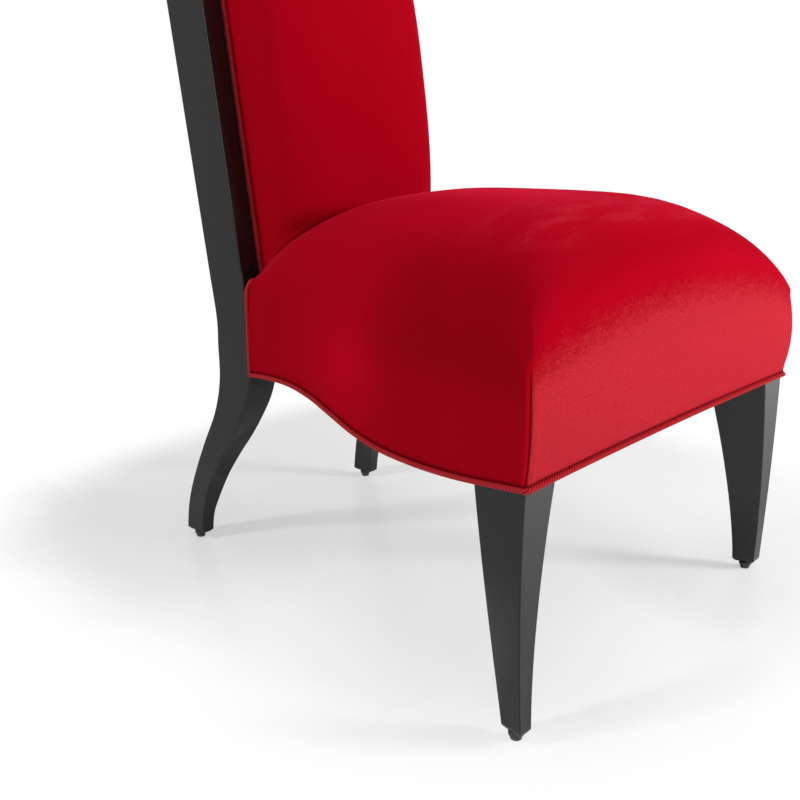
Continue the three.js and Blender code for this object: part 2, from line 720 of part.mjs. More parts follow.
// The seat's plan, grown outwards from the rails' faces, as points round it from the rear right corner.
// Each point knows how far the skirt swells there.
function seatPlan(grow) {
  const [front, rear] = [railFront - grow, seatRear - coverGrow + grow];
  const half = (y) => railX(y) + grow * sideFactor;
  const eased = spread(EDGE_POINTS + 1, 0, Math.PI).map((angle) => (1 - Math.cos(angle)) / 2);
  const sideways = eased.map((share) => THREE.MathUtils.lerp(rear, front, share));
  const rightSide = sideways.map((y, k) => ({
    spot: new THREE.Vector2(-half(y), y),
    swell: new THREE.Vector2(k > 0 ? -SEAT_SIDE_SWELL : 0, k < EDGE_POINTS ? 0 : -SEAT_FRONT_SWELL),
  }));
  const leftSide = rightSide.toReversed().map(({ spot, swell }) => ({
    spot: new THREE.Vector2(-spot.x, spot.y),
    swell: new THREE.Vector2(-swell.x, swell.y),
  }));
  const acrossFront = eased.slice(1, -1).map((share) => ({
    spot: new THREE.Vector2(half(front) * (2 * share - 1), front),
    swell: new THREE.Vector2(0, -SEAT_FRONT_SWELL),
  }));
  const acrossRear = eased.slice(1, -1).map((share) => ({
    spot: new THREE.Vector2(half(rear) * (1 - 2 * share), rear),
    swell: new THREE.Vector2(),
  }));
  return [...rightSide, ...acrossFront, ...leftSide, ...acrossRear];
}

function rounded(share, power) {
  return Math.max(1 - Math.abs(share) ** power, 0) ** (1 / power);
}

// The height of the seat's cover: a rounded rise across, times one along, over the edge's height.
function seatTop({ x, y }) {
  const across = x / (railX(y) + coverGrow * sideFactor);
  const reach = y < seatMiddle ? seatMiddle - railFront + coverGrow : seatRear + SEAT_TUCK - seatMiddle;
  const rise = rounded(across, SEAT_ACROSS_POWER) * rounded((y - seatMiddle) / reach, SEAT_ALONG_POWER);
  return SEAT_EDGE_HEIGHT + SEAT_CROWN * rise;
}

// A surface at a depth under the seat's cover: its crown, and its skirt, which swells down to the apron
// and drops plumb from there to a low height.
function seatSurface(depth, low) {
  const [outline, plan] = [seatPlan(coverGrow), seatPlan(coverGrow - depth)];
  const middle = new THREE.Vector2(0, seatMiddle);
  const shares = spread(CROWN_RINGS + 1, 0, Math.PI / 2).slice(1).map((angle) => Math.sin(angle));
  const crown = shares.map((share) => plan.map((point, k) => {
    const spot = middle.clone().lerp(point.spot, share);
    return new THREE.Vector3(spot.x, spot.y, seatTop(middle.clone().lerp(outline[k].spot, share)) - depth);
  }));
  const skirt = spread(SKIRT_ROWS + 1, 0, 1).slice(1).map((share) => plan.map(({ spot, swell }, k) => {
    const swollen = spot.clone().addScaledVector(swell, Math.sin(Math.PI * share));
    const height = THREE.MathUtils.lerp(crown.at(-1)[k].z, sideApron(spot.y) + coverRise, share);
    return new THREE.Vector3(swollen.x, swollen.y, height);
  }));
  const pole = new THREE.Vector3(0, seatMiddle, seatTop(middle) - depth);
  const hem = plan.map(({ spot }) => new THREE.Vector3(spot.x, spot.y, low));
  return { pole, rings: [...crown, ...skirt, hem] };
}

function seatSolid(depth, low) {
  const surface = seatSurface(depth, low);
  return dome(surface, surface.pole.clone().setZ(low));
}

// What is under the apron's low line, with the piping on it, along the sides and along the front.
function underApron() {
  const [width, depth] = [FRONT_WIDTH, RAIL_THICKNESS];
  const sides = spread(PIPING_STEPS + 1, OVERRUN, railFront - depth).map((y) => {
    const high = sideApron(y) + coverRise;
    return [[-width, 0], [width, 0], [width, high], [-width, high]]
      .map(([x, z]) => new THREE.Vector3(x, y, z));
  });
  const front = spread(BOARD_STEPS + 1, -legOuter, legOuter).map((x) => {
    const high = frontApron(x) + coverRise;
    const [near, far] = [railFront - depth, railFront];
    return [[near, 0], [far, 0], [far, high], [near, high]]
      .map(([y, z]) => new THREE.Vector3(x, y, z));
  });
  return [loft(sides), loft(front)];
}

// The space inside the rails' faces, up to the deck.
function frameSpace() {
  const [front, rear] = [railFront - TOUCH, OVERRUN];
  const half = (y) => railX(y) + TOUCH * sideFactor;
  const outline = [[-half(front), front], [half(front), front], [half(rear), rear], [-half(rear), rear]];
  return prism(outline, 0, deckTop + TOUCH);
}

function seatCover() {
  const skirtLow = APRON_LOW - APRON_SWING;
  const skin = domeSkin(seatSurface(0, skirtLow), seatSurface(COVER, skirtLow));
  return cut(skin, [frameSpace(), ...underApron()]);
}

function seatFoam() {
  return cut(seatSolid(COVER + TOUCH, APRON_LOW - APRON_SWING), [frameSpace(), ...underApron()]);
}

// The space that the seat takes under the back pad, with room round it, carried on towards the back.
function seatSpace() {
  const base = RAIL_TOP - OVERRUN;
  const { rings } = seatSurface(-UPHOLSTERY_GAP, base);
  const edge = rings[CROWN_RINGS - 1];
  const outline = [...edge.slice(3 * EDGE_POINTS), edge[0]];
  outline.push(...[outline.at(-1), outline[0]].map((point) => point.clone().setZ(base)));
  const ends = [-UPHOLSTERY_GAP, BACK_CROWN]
    .map((run) => outline.map((point) => point.clone().setY(seatRear + run)));
  return toGeometry(toSolid(seatSolid(-UPHOLSTERY_GAP, base)).add(toSolid(loft(ends))));
}

// The seat's piping: along the apron's low line, and up the rear edges and over their shoulders.
const pipingCorner = new THREE.Vector3(
  -railX(railFront - pipingOffset) - pipingOffset * sideFactor,
  railFront - pipingOffset,
  FRONT_APRON_HEIGHT + PIPING_RADIUS,
);
const pipingRear = seatRear + PIPING_RADIUS + TOUCH;
const frontMitre = new THREE.Vector3(1, 0, 0).sub(sideRun).normalize();

function pipingAt(y) {
  return new THREE.Vector3(-railX(y) - pipingOffset * sideFactor, y, sideApron(y) + PIPING_RADIUS);
}

function frontPiping() {
  const reach = -pipingCorner.x - TOUCH / 2;
  const points = spread(BOARD_STEPS + 1, -reach, reach).map((x) => {
    const low = frontApron(Math.min(Math.abs(x), legOuter));
    return new THREE.Vector3(x, pipingCorner.y, low + PIPING_RADIUS);
  });
  const farMitre = frontMitre.clone().setX(-frontMitre.x);
  return cord(points, new THREE.Vector3(0, 0, 1), frontMitre, farMitre);
}

const upright = new THREE.Vector3(0, 0, 1);
const rearMitre = upright.clone().add(sideRun).normalize();

function sidePiping() {
  const points = spread(PIPING_STEPS + 1, pipingCorner.y + TOUCH / 2, pipingRear - TOUCH / 2).map(pipingAt);
  return cord(points, upright, frontMitre, rearMitre);
}

function shoulderPiping() {
  const foot = pipingAt(pipingRear);
  const edge = new THREE.Vector3(foot.x, pipingRear, SEAT_EDGE_HEIGHT);
  const plumb = [edge.clone().setZ(foot.z + TOUCH / 2), edge];
  const outer = railX(seatRear) + coverGrow * sideFactor;
  const angles = spread(PIPING_STEPS / 2, 0, THREE.MathUtils.degToRad(SHOULDER_DEG)).slice(1);
  const shoulder = angles.map((angle) => {
    const rise = seatTop({ x: outer * Math.cos(angle), y: seatRear }) - SEAT_EDGE_HEIGHT;
    return edge.clone().setX(foot.x * Math.cos(angle)).setZ(SEAT_EDGE_HEIGHT + rise);
  });
  return cord([...plumb, ...shoulder], new THREE.Vector3(0, 1, 0), rearMitre);
}

function dustCover() {
  const [front, rear] = [railFront + EDGE_CHAMFER, rearBoardFace];
  const rings = spread(PIPING_STEPS + 1, rear, front).map((y) => {
    const half = railX(y) - EDGE_CHAMFER;
    const low = sideApron(y) + TOUCH;
    return [[-half, low], [half, low], [half, low + DUST_COVER], [-half, low + DUST_COVER]]
      .map(([x, z]) => new THREE.Vector3(x, y, z));
  });
  const posts = postBody(TOUCH);
  const legs = legBody(TOUCH);
  return cut(loft(rings), [posts, mirrored(posts), legs, mirrored(legs)]);
}

// The back pad: a crown over a rounded outline, in the back's own frame.
const padMiddle = (panelLow + panelHigh) / 2;
const padEdge = 2 * PIPING_RADIUS + TOUCH;

// The pad's outline at a depth inside it, as points round it from the lower right corner.
function padPlan(depth) {
  const [half, high] = [panelHalf - padEdge - depth, panelHigh - padEdge - depth];
  const radius = BACK_CORNER_RADIUS;
  const eased = spread(EDGE_POINTS + 1, 0, Math.PI).map((angle) => (1 - Math.cos(angle)) / 2);
  const turn = spread(CORNER_POINTS + 1, 0, Math.PI / 2).slice(1, -1);
  const heights = eased.map((share) => THREE.MathUtils.lerp(panelLow, high - radius, share));
  const up = heights.map((height) => new THREE.Vector2(half, height));
  const bend = turn.map((angle) => new THREE.Vector2(half - radius, high - radius)
    .add(new THREE.Vector2(radius, 0).rotateAround(new THREE.Vector2(), angle)));
  const across = eased.map((share) => new THREE.Vector2((half - radius) * (1 - 2 * share), high));
  const rightHalf = [...up, ...bend];
  const leftHalf = rightHalf.toReversed().map(({ x, y }) => new THREE.Vector2(-x, y));
  const below = eased.slice(1, -1).map((share) => new THREE.Vector2(half * (2 * share - 1), panelLow));
  return [...rightHalf, ...across, ...leftHalf, ...below];
}

// A surface at a depth under the back's cover. It ends on the panel.
function backSurface(depth) {
  const [outline, plan] = [padPlan(0), padPlan(depth)];
  const middle = new THREE.Vector2(0, padMiddle);
  const [half, reach] = [panelHalf - padEdge, panelHigh - padEdge - padMiddle];
  const heightAt = ({ x, y }) => {
    const rise = rounded(x / half, BACK_ACROSS_POWER) * rounded((y - padMiddle) / reach, BACK_ALONG_POWER);
    return TOUCH + Math.max(BACK_CROWN * rise - depth, 0);
  };
  const shares = spread(CROWN_RINGS + 1, 0, Math.PI / 2).slice(1).map((angle) => Math.sin(angle));
  const rings = shares.map((share) => plan.map((point, k) => {
    const spot = middle.clone().lerp(point, share);
    return new THREE.Vector3(spot.x, spot.y, heightAt(middle.clone().lerp(outline[k], share)))
      .applyMatrix4(backFrame);
  }));
  return { pole: new THREE.Vector3(0, padMiddle, heightAt(middle)).applyMatrix4(backFrame), rings };
}

function backCover(space) {
  return cut(domeSkin(backSurface(0), backSurface(COVER)), [space]);
}

function backFoam(space) {
  const low = new THREE.Vector3(0, padMiddle, TOUCH).applyMatrix4(backFrame);
  return cut(dome(backSurface(COVER + TOUCH), low), [space]);
}

function backPiping(space) {
  const [half, high] = [panelHalf - PIPING_RADIUS, panelHigh - PIPING_RADIUS];
  const radius = BACK_CORNER_RADIUS;
  const path = new THREE.CurvePath();
  const line = (from, to) => new THREE.LineCurve(new THREE.Vector2(...from), new THREE.Vector2(...to));
  const corner = (x, from, to) => new THREE.EllipseCurve(x, high - radius, radius, radius, from, to);
  path.add(line([half, panelLow], [half, high - radius]));
  path.add(corner(half - radius, 0, Math.PI / 2));
  path.add(line([half - radius, high], [radius - half, high]));
  path.add(corner(radius - half, Math.PI / 2, Math.PI));
  path.add(line([-half, high - radius], [-half, panelLow]));
  const points = path.getPoints(TRIM_SIDES)
    .map(({ x, y }) => new THREE.Vector3(x, y, pipingOffset).applyMatrix4(backFrame));
  return cut(cord(points, forward), [space]);
}

function backPanel() {
  const slab = backSlab(panelHalf, panelLow, panelHigh, -BACK_PANEL - TOUCH, -TOUCH);
  const holes = panelScrewHoles();
  return cut(slab, [...holes, ...holes.map(mirrored)]);
}

// Outside back: a board and its cover that follow the rear edges of the posts.
function outsideBack(inset, thickness) {
  const half = postInner - TOUCH;
  const low = sideApron(0) + railRise;
  const high = postTop - POST_TOP_DEPTH * Math.sin(rake) - 2 * TOUCH;
  const rings = spread(BOARD_STEPS + 1, low, high).map((z) => {
    const rear = readLine(postRearLine, z) - inset;
    return [[-half, rear - thickness], [half, rear - thickness], [half, rear], [-half, rear]]
      .map(([x, y]) => new THREE.Vector3(x, y, z));
  });
  return loft(rings);
}

function addFrame() {
  const recess = panelRecess();
  const dowels = DOWEL_PLACE_SHARES.map((share) => crestDowel(share, TOUCH));
  const postCuts = [recess, glideHole(rearFoot), ...dowels, ...panelScrewHoles()];
  addPair('back_post', cut(postBody(), postCuts), 'lacquer');
  addPiece('crest_rail', cut(crestRail(), [recess, ...dowels, ...dowels.map(mirrored)]), 'lacquer');
  addPair('front_leg', cut(legBody(), [glideHole(frontFoot)]), 'lacquer');
  const holes = Object.values(blocks).flatMap(blockScrewHoles);
  const bothSides = [...holes, ...holes.map(mirrored)];
  addPair('side_rail', cut(sideRail(), [postBody(TOUCH), ...holes]), 'hardwood');
  const legs = [legBody(TOUCH), mirrored(legBody(TOUCH))];
  addPiece('front_seat_rail', cut(frontRail(), [...legs, ...bothSides]), 'hardwood');
  addPiece('rear_seat_rail', cut(rearRail(), bothSides), 'hardwood');
  addPiece('lower_back_rail', lowerBackRail(), 'hardwood');
}

function addJoinery() {
  const neighbours = [postBody(TOUCH), legBody(TOUCH)];
  for (const [name, block] of Object.entries(blocks)) {
    const holes = blockScrewHoles(block);
    addPair(`${name}_corner_block`, cut(cornerBlock(block), [...neighbours, ...holes]), 'hardwood');
    for (const { end, place, direction } of blockScrewPlaces(block)) {
      addPair(`${name}_block_${end}_screw`, aimed(screw(SCREW_LENGTH), place, direction), 'steel');
    }
  }
  DOWEL_PLACE_SHARES.forEach((share, k) => {
    addPair(`crest_dowel_${k + 1}`, crestDowel(share, 0), 'hardwood');
  });
  PANEL_SCREW_SHARES.forEach((share, k) => {
    addPair(`back_panel_screw_${k + 1}`, panelScrew(share, screw(PANEL_SCREW_LENGTH)), 'steel');
  });
  addPair('rear_glide', glide(rearFoot), 'glide');
  addPair('front_glide', glide(frontFoot), 'glide');
}

function addSeat() {
  for (let k = 0; k < LONG_WEBS; k += 1) {
    addPiece(`long_web_${k + 1}`, longWeb(k), 'webbing');
  }
  for (let k = 0; k < CROSS_WEBS; k += 1) {
    addPiece(`cross_web_${k + 1}`, crossWeb(k), 'webbing');
  }
  addPiece('deck_cloth', deckCloth(), 'hessian');
  addPiece('seat_foam', seatFoam(), 'foam');
  addPiece('seat_cover', seatCover(), 'velvet');
  addPiece('front_seat_piping', frontPiping(), 'piping');
  addPair('seat_piping', sidePiping(), 'piping');
  addPair('shoulder_piping', shoulderPiping(), 'piping');
  addPiece('dust_cover', dustCover(), 'dustcloth');
}

function addBack() {
  const space = seatSpace();
  addPiece('back_panel', backPanel(), 'plywood');
  addPiece('back_foam', backFoam(space), 'foam');
  addPiece('back_cover', backCover(space), 'velvet');
  addPiece('back_piping', backPiping(space), 'piping');
  addPiece('outside_back_board', outsideBack(BACK_BOARD_INSET + COVER + TOUCH, BACK_BOARD), 'plywood');
  addPiece('outside_back_cover', outsideBack(BACK_BOARD_INSET, COVER), 'velvet');
}

addFrame();
addJoinery();
addSeat();
addBack();

// The origin is on the floor, under the middle of the chair's box.
const bounds = new THREE.Box3().setFromObject(chair);
chair.position.y = -(bounds.min.y + bounds.max.y) / 2;

export default chair;
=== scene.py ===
"""A slipper chair in black lacquer and red velvet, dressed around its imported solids.

Sizes are millimetres in the chair's building frame, whose Y is zero at the front faces of the back
posts. The sitter faces -Y, so the sitter's right side is at -X.
"""

import logging
import math
from dataclasses import dataclass, field
from enum import Enum
from typing import Callable

import bpy
import numpy as np
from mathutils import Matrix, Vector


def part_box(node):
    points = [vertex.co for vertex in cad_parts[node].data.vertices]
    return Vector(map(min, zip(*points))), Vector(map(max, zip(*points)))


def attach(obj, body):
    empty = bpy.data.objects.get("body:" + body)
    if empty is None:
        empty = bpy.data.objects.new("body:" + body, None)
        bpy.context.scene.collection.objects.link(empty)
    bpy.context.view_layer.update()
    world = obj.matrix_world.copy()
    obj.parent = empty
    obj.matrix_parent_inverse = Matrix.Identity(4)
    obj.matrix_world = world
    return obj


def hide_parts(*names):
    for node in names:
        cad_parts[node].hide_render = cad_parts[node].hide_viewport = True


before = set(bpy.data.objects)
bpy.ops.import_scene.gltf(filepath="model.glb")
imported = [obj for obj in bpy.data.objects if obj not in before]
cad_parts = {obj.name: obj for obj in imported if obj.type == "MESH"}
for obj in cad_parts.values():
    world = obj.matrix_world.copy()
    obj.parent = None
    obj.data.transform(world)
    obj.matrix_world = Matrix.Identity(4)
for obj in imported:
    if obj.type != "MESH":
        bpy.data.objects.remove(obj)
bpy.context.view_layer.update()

Array = np.ndarray
log = logging.getLogger("slipper_chair")

MM = 0.001
REAR_WALL = -6.0
SHIFT_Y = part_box("seat_cover")[1].y / MM - REAR_WALL


# ---------------------------------------------------------------- shapes as arrays


def rounded(share: Array, power: float | Array) -> Array:
    """Height of a superellipse: (1 - |share|^power)^(1/power).

    Args:
        share: Place from the middle, from -1 to 1.
        power: How square the curve is; 2 is a circle.

    Returns:
        The height at each place, from 0 to 1.
    """
    return np.maximum(1.0 - np.abs(share) ** power, 0.0) ** (1.0 / power)


def even_arc(power: float, rise: float, reach: float, step: float, limit: float = 1.0) -> Array:
    """Shares from 0 to a limit that cut a superellipse profile into even lengths.

    The profile is (reach |sin a|^(2/p), rise |cos a|^(2/p)); its length is added up along a and
    divided evenly.

    Args:
        power: The superellipse's power p.
        rise: Its height in the middle.
        reach: Its half width.
        step: The wanted length of a piece.
        limit: The last share.

    Returns:
        The shares, from 0 to the limit.
    """
    end = math.asin(min(limit, 1.0) ** (power / 2.0))
    angle = np.linspace(0.0, end, 40001)
    share = np.sin(angle) ** (2.0 / power)
    line = np.stack([reach * share, rise * np.cos(angle) ** (2.0 / power)], axis=1)
    length = np.concatenate([[0.0], np.cumsum(np.linalg.norm(np.diff(line, axis=0), axis=1))])
    count = max(int(round(length[-1] / step)), 2)
    found = np.interp(np.linspace(0.0, length[-1], count + 1), length, share)
    found[-1] = limit
    return found


def bell(distance: Array, width: float) -> Array:
    """exp(-(distance / width)^2)."""
    return np.exp(-((distance / width) ** 2))


def eased(share: Array) -> Array:
    """A smooth step: 3 s^2 - 2 s^3, with s kept within 0 and 1."""
    kept = np.clip(share, 0.0, 1.0)
    return kept * kept * (3.0 - 2.0 * kept)


def through(points: Array, shares: Array) -> Array:
    """Points on a smooth line through given ones, each stretch a cubic with half-chord tangents.

    Args:
        points: The given points, one a row.
        shares: Places along the line, from 0 to 1, each stretch taking an even part.

    Returns:
        The points at those places.
    """
    last = len(points) - 1
    place = np.clip(shares, 0.0, 1.0) * last
    k = np.minimum(place.astype(int), last - 1)
    w = (place - k)[:, None]
    before, a = points[np.maximum(k - 1, 0)], points[k]
    b, after = points[k + 1], points[np.minimum(k + 2, last)]
    enter, leave = (b - before) / 2.0, (after - a) / 2.0
    return (
        (2 * a - 2 * b + enter + leave) * w**3
        + (-3 * a + 3 * b - 2 * enter - leave) * w**2
        + enter * w
        + a
    )


def evenly(path: Array, step: float) -> Array:
    """A path cut again into even steps, by its own length.

    Args:
        path: Points along the path.
        step: The wanted length of a step.

    Returns:
        The new points.
    """
    length = np.concatenate([[0.0], np.cumsum(np.linalg.norm(np.diff(path, axis=0), axis=1))])
    places = np.linspace(0.0, length[-1], max(int(round(length[-1] / step)), 2) + 1)
    return np.stack([np.interp(places, length, path[:, k]) for k in range(3)], axis=1)


def unit(vectors: Array) -> Array:
    """Each vector divided by its length."""
    return vectors / np.maximum(np.linalg.norm(vectors, axis=-1, keepdims=True), 1e-12)


def grid_quads(rows: int, columns: int, closed: bool, first: int = 0) -> Array:
    """Quads between neighbouring points of a grid stored row by row.

    Args:
        rows: How many rows the grid has.
        columns: How many points a row has.
        closed: Whether each row's last point joins its first.
        first: The index of the grid's first point.

    Returns:
        One quad a row, as four indices.
    """
    row = first + np.arange(rows - 1)[:, None] * columns
    column = np.arange(columns if closed else columns - 1)[None, :]
    following = (column + 1) % columns
    quads = np.stack([row + column, row + following, row + columns + following, row + columns + column])
    return quads.reshape(4, -1).T


def fan(ring: Array, pole: int) -> Array:
    """Triangles from a ring of indices to one pole."""
    return np.stack([ring, np.roll(ring, -1), np.full(len(ring), pole)], axis=1)


def triangles(polygons: list[Array]) -> Array:
    """All polygons of up to four corners as triangles."""
    parts = [polygon[:, [0, 1, 2]] for polygon in polygons if polygon.shape[1] in (3, 4)]
    parts += [polygon[:, [0, 2, 3]] for polygon in polygons if polygon.shape[1] == 4]
    return np.concatenate(parts)


def point_normals(points: Array, polygons: list[Array]) -> Array:
    """The area-weighted mean of the face normals round each point."""
    faces = triangles(polygons)
    a, b, c = (points[faces[:, k]] for k in range(3))
    normal = np.cross(b - a, c - a)
    total = np.zeros_like(points)
    for k in range(3):
        np.add.at(total, faces[:, k], normal)
    return unit(total)


def enclosed(points: Array, polygons: list[Array]) -> float:
    """Six times the volume that closed polygons hold; it is negative where they face inwards."""
    total = 0.0
    for polygon in polygons:
        a = points[polygon[:, 0]]
        for k in range(1, polygon.shape[1] - 1):
            total += float(np.einsum("ij,ij->", a, np.cross(points[polygon[:, k]], points[polygon[:, k + 1]])))
    return total


@dataclass
class Shape:
    """A closed surface: points in millimetres, polygons, and values at the points."""

    points: Array
    polygons: list[Array]
    values: dict[str, Array] = field(default_factory=dict)

    def mirrored(self) -> "Shape":
        """The same shape on the other side of X = 0."""
        return Shape(self.points * [-1.0, 1.0, 1.0], self.polygons, self.values)

    def build(self, name: str, sharp_deg: float = 40.0) -> bpy.types.Object:
        """Makes the object, smooth but for edges sharper than an angle, with its faces outwards.

        Args:
            name: The object's name.
            sharp_deg: The angle past which an edge stays sharp.

        Returns:
            The object, linked to the scene, at the origin.
        """
        turned = enclosed(self.points, self.polygons) < 0
        mesh = bpy.data.meshes.new(name)
        placed = (self.points + [0.0, SHIFT_Y, 0.0]) * MM
        faces = [(row[::-1] if turned else row) for polygon in self.polygons for row in polygon.tolist()]
        mesh.from_pydata(placed.tolist(), [], faces)
        for key, value in self.values.items():
            attribute = mesh.attributes.new(key, "FLOAT", "POINT")
            attribute.data.foreach_set("value", value.astype(np.float32))
        mesh.polygons.foreach_set("use_smooth", np.ones(len(mesh.polygons), bool))
        mesh.set_sharp_from_angle(angle=math.radians(sharp_deg))
        mesh.update()
        piece = bpy.data.objects.new(name, mesh)
        bpy.context.scene.collection.objects.link(piece)
        return piece


def joined(shapes: list[Shape]) -> Shape:
    """Several shapes as one."""
    points, polygons, first = [], [], 0
    for shape in shapes:
        points.append(shape.points)
        polygons += [polygon + first for polygon in shape.polygons]
        first += len(shape.points)
    keys = set.intersection(*[set(shape.values) for shape in shapes])
    values = {key: np.concatenate([shape.values[key] for shape in shapes]) for key in keys}
    return Shape(np.concatenate(points), polygons, values)


def tube(rings: Array, values: dict[str, Array] | None = None) -> Shape:
    """A body through a row of like rings, with a flat end on each side.

    Args:
        rings: Points by ring and by place round it.
        values: Values at the points, in the same order.

    Returns:
        The closed shape.
    """
    rows, sides = rings.shape[:2]
    ends = [np.arange(sides)[None, ::-1], (rows - 1) * sides + np.arange(sides)[None, :]]
    return Shape(rings.reshape(-1, 3), [grid_quads(rows, sides, True), *ends], values or {})


def turned_piece(profile: Array, x: float, y: float, sides: int = 56) -> Shape:
    """A turned piece on an upright axis: each profile point (r, z) goes round a circle of radius r.

    Args:
        profile: Pairs of radius and height, first and last on the axis.
        x: The axis's place across.
        y: The axis's place along the chair.
        sides: How many points go round.

    Returns:
        The closed shape.
    """
    angle = np.linspace(0.0, 2.0 * np.pi, sides, endpoint=False)
    inner = profile[1:-1]
    ring = np.stack([np.cos(angle), np.sin(angle)], axis=1)
    rows = np.concatenate(
        [
            inner[:, None, :1] * ring[None] + [x, y],
            np.broadcast_to(inner[:, None, 1:], (len(inner), sides, 1)),
        ],
        axis=2,
    )
    poles = np.array([[x, y, profile[0, 1]], [x, y, profile[-1, 1]]])
    points = np.concatenate([rows.reshape(-1, 3), poles])
    last = len(points) - 1
    low, high = np.arange(sides), (len(inner) - 1) * sides + np.arange(sides)
    return Shape(points, [grid_quads(len(inner), sides, True), fan(low[::-1], last - 1), fan(high, last)])


@dataclass(frozen=True)
class Section:
    """A four-sided section with rounded corners, for boards and legs.

    Each point is (across w + a, along d + b), where w and d are the section's sizes and a and b are
    set by the corner's radius, so one template serves every row of a loft.
    """

    radius: float = 1.8
    arc_steps: int = 5
    support: float = 0.7

    def template(self) -> tuple[Array, Array, Array]:
        """The template's points.

        Returns:
            Which size each point hangs on (0 or 1 by axis), its offset, and 1 where it is on a corner.
        """
        hang, offset, edge = [], [], []
        for (cx, cy), start in zip(((0, 0), (1, 0), (1, 1), (0, 1)), (180, 270, 0, 90)):
            angle = np.radians(np.linspace(start, start + 90, self.arc_steps + 1))
            arc = self.radius * np.stack([np.cos(angle), np.sin(angle)], axis=1)
            centre = self.radius * np.array([1 - 2 * cx, 1 - 2 * cy])
            arc = arc + centre
            enter = arc[0] + self.support * np.array([np.sin(angle[0]), -np.cos(angle[0])])
            leave = arc[-1] + self.support * np.array([-np.sin(angle[-1]), np.cos(angle[-1])])
            offset.append(np.vstack([enter, arc, leave]))
            hang.append(np.tile([cx, cy], (self.arc_steps + 3, 1)))
            edge.append(np.concatenate([[0.0], np.ones(self.arc_steps + 1), [0.0]]))
        return np.concatenate(hang), np.concatenate(offset), np.concatenate(edge)

    def rows(self, width: Array, depth: Array, inset: Array) -> tuple[Array, Array]:
        """Section points for rows of changing size.

        Args:
            width: Each row's size across.
            depth: Each row's size along.
            inset: How far each row is drawn in all round.

        Returns:
            The points by row, and the values of the edge mask.
        """
        hang, offset, edge = self.template()
        size = np.stack([width - 2 * inset, depth - 2 * inset], axis=1)[:, None, :]
        points = hang[None] * size + offset[None] + inset[:, None, None]
        return points, np.tile(edge, len(width))


# ---------------------------------------------------------------- the chair's lines


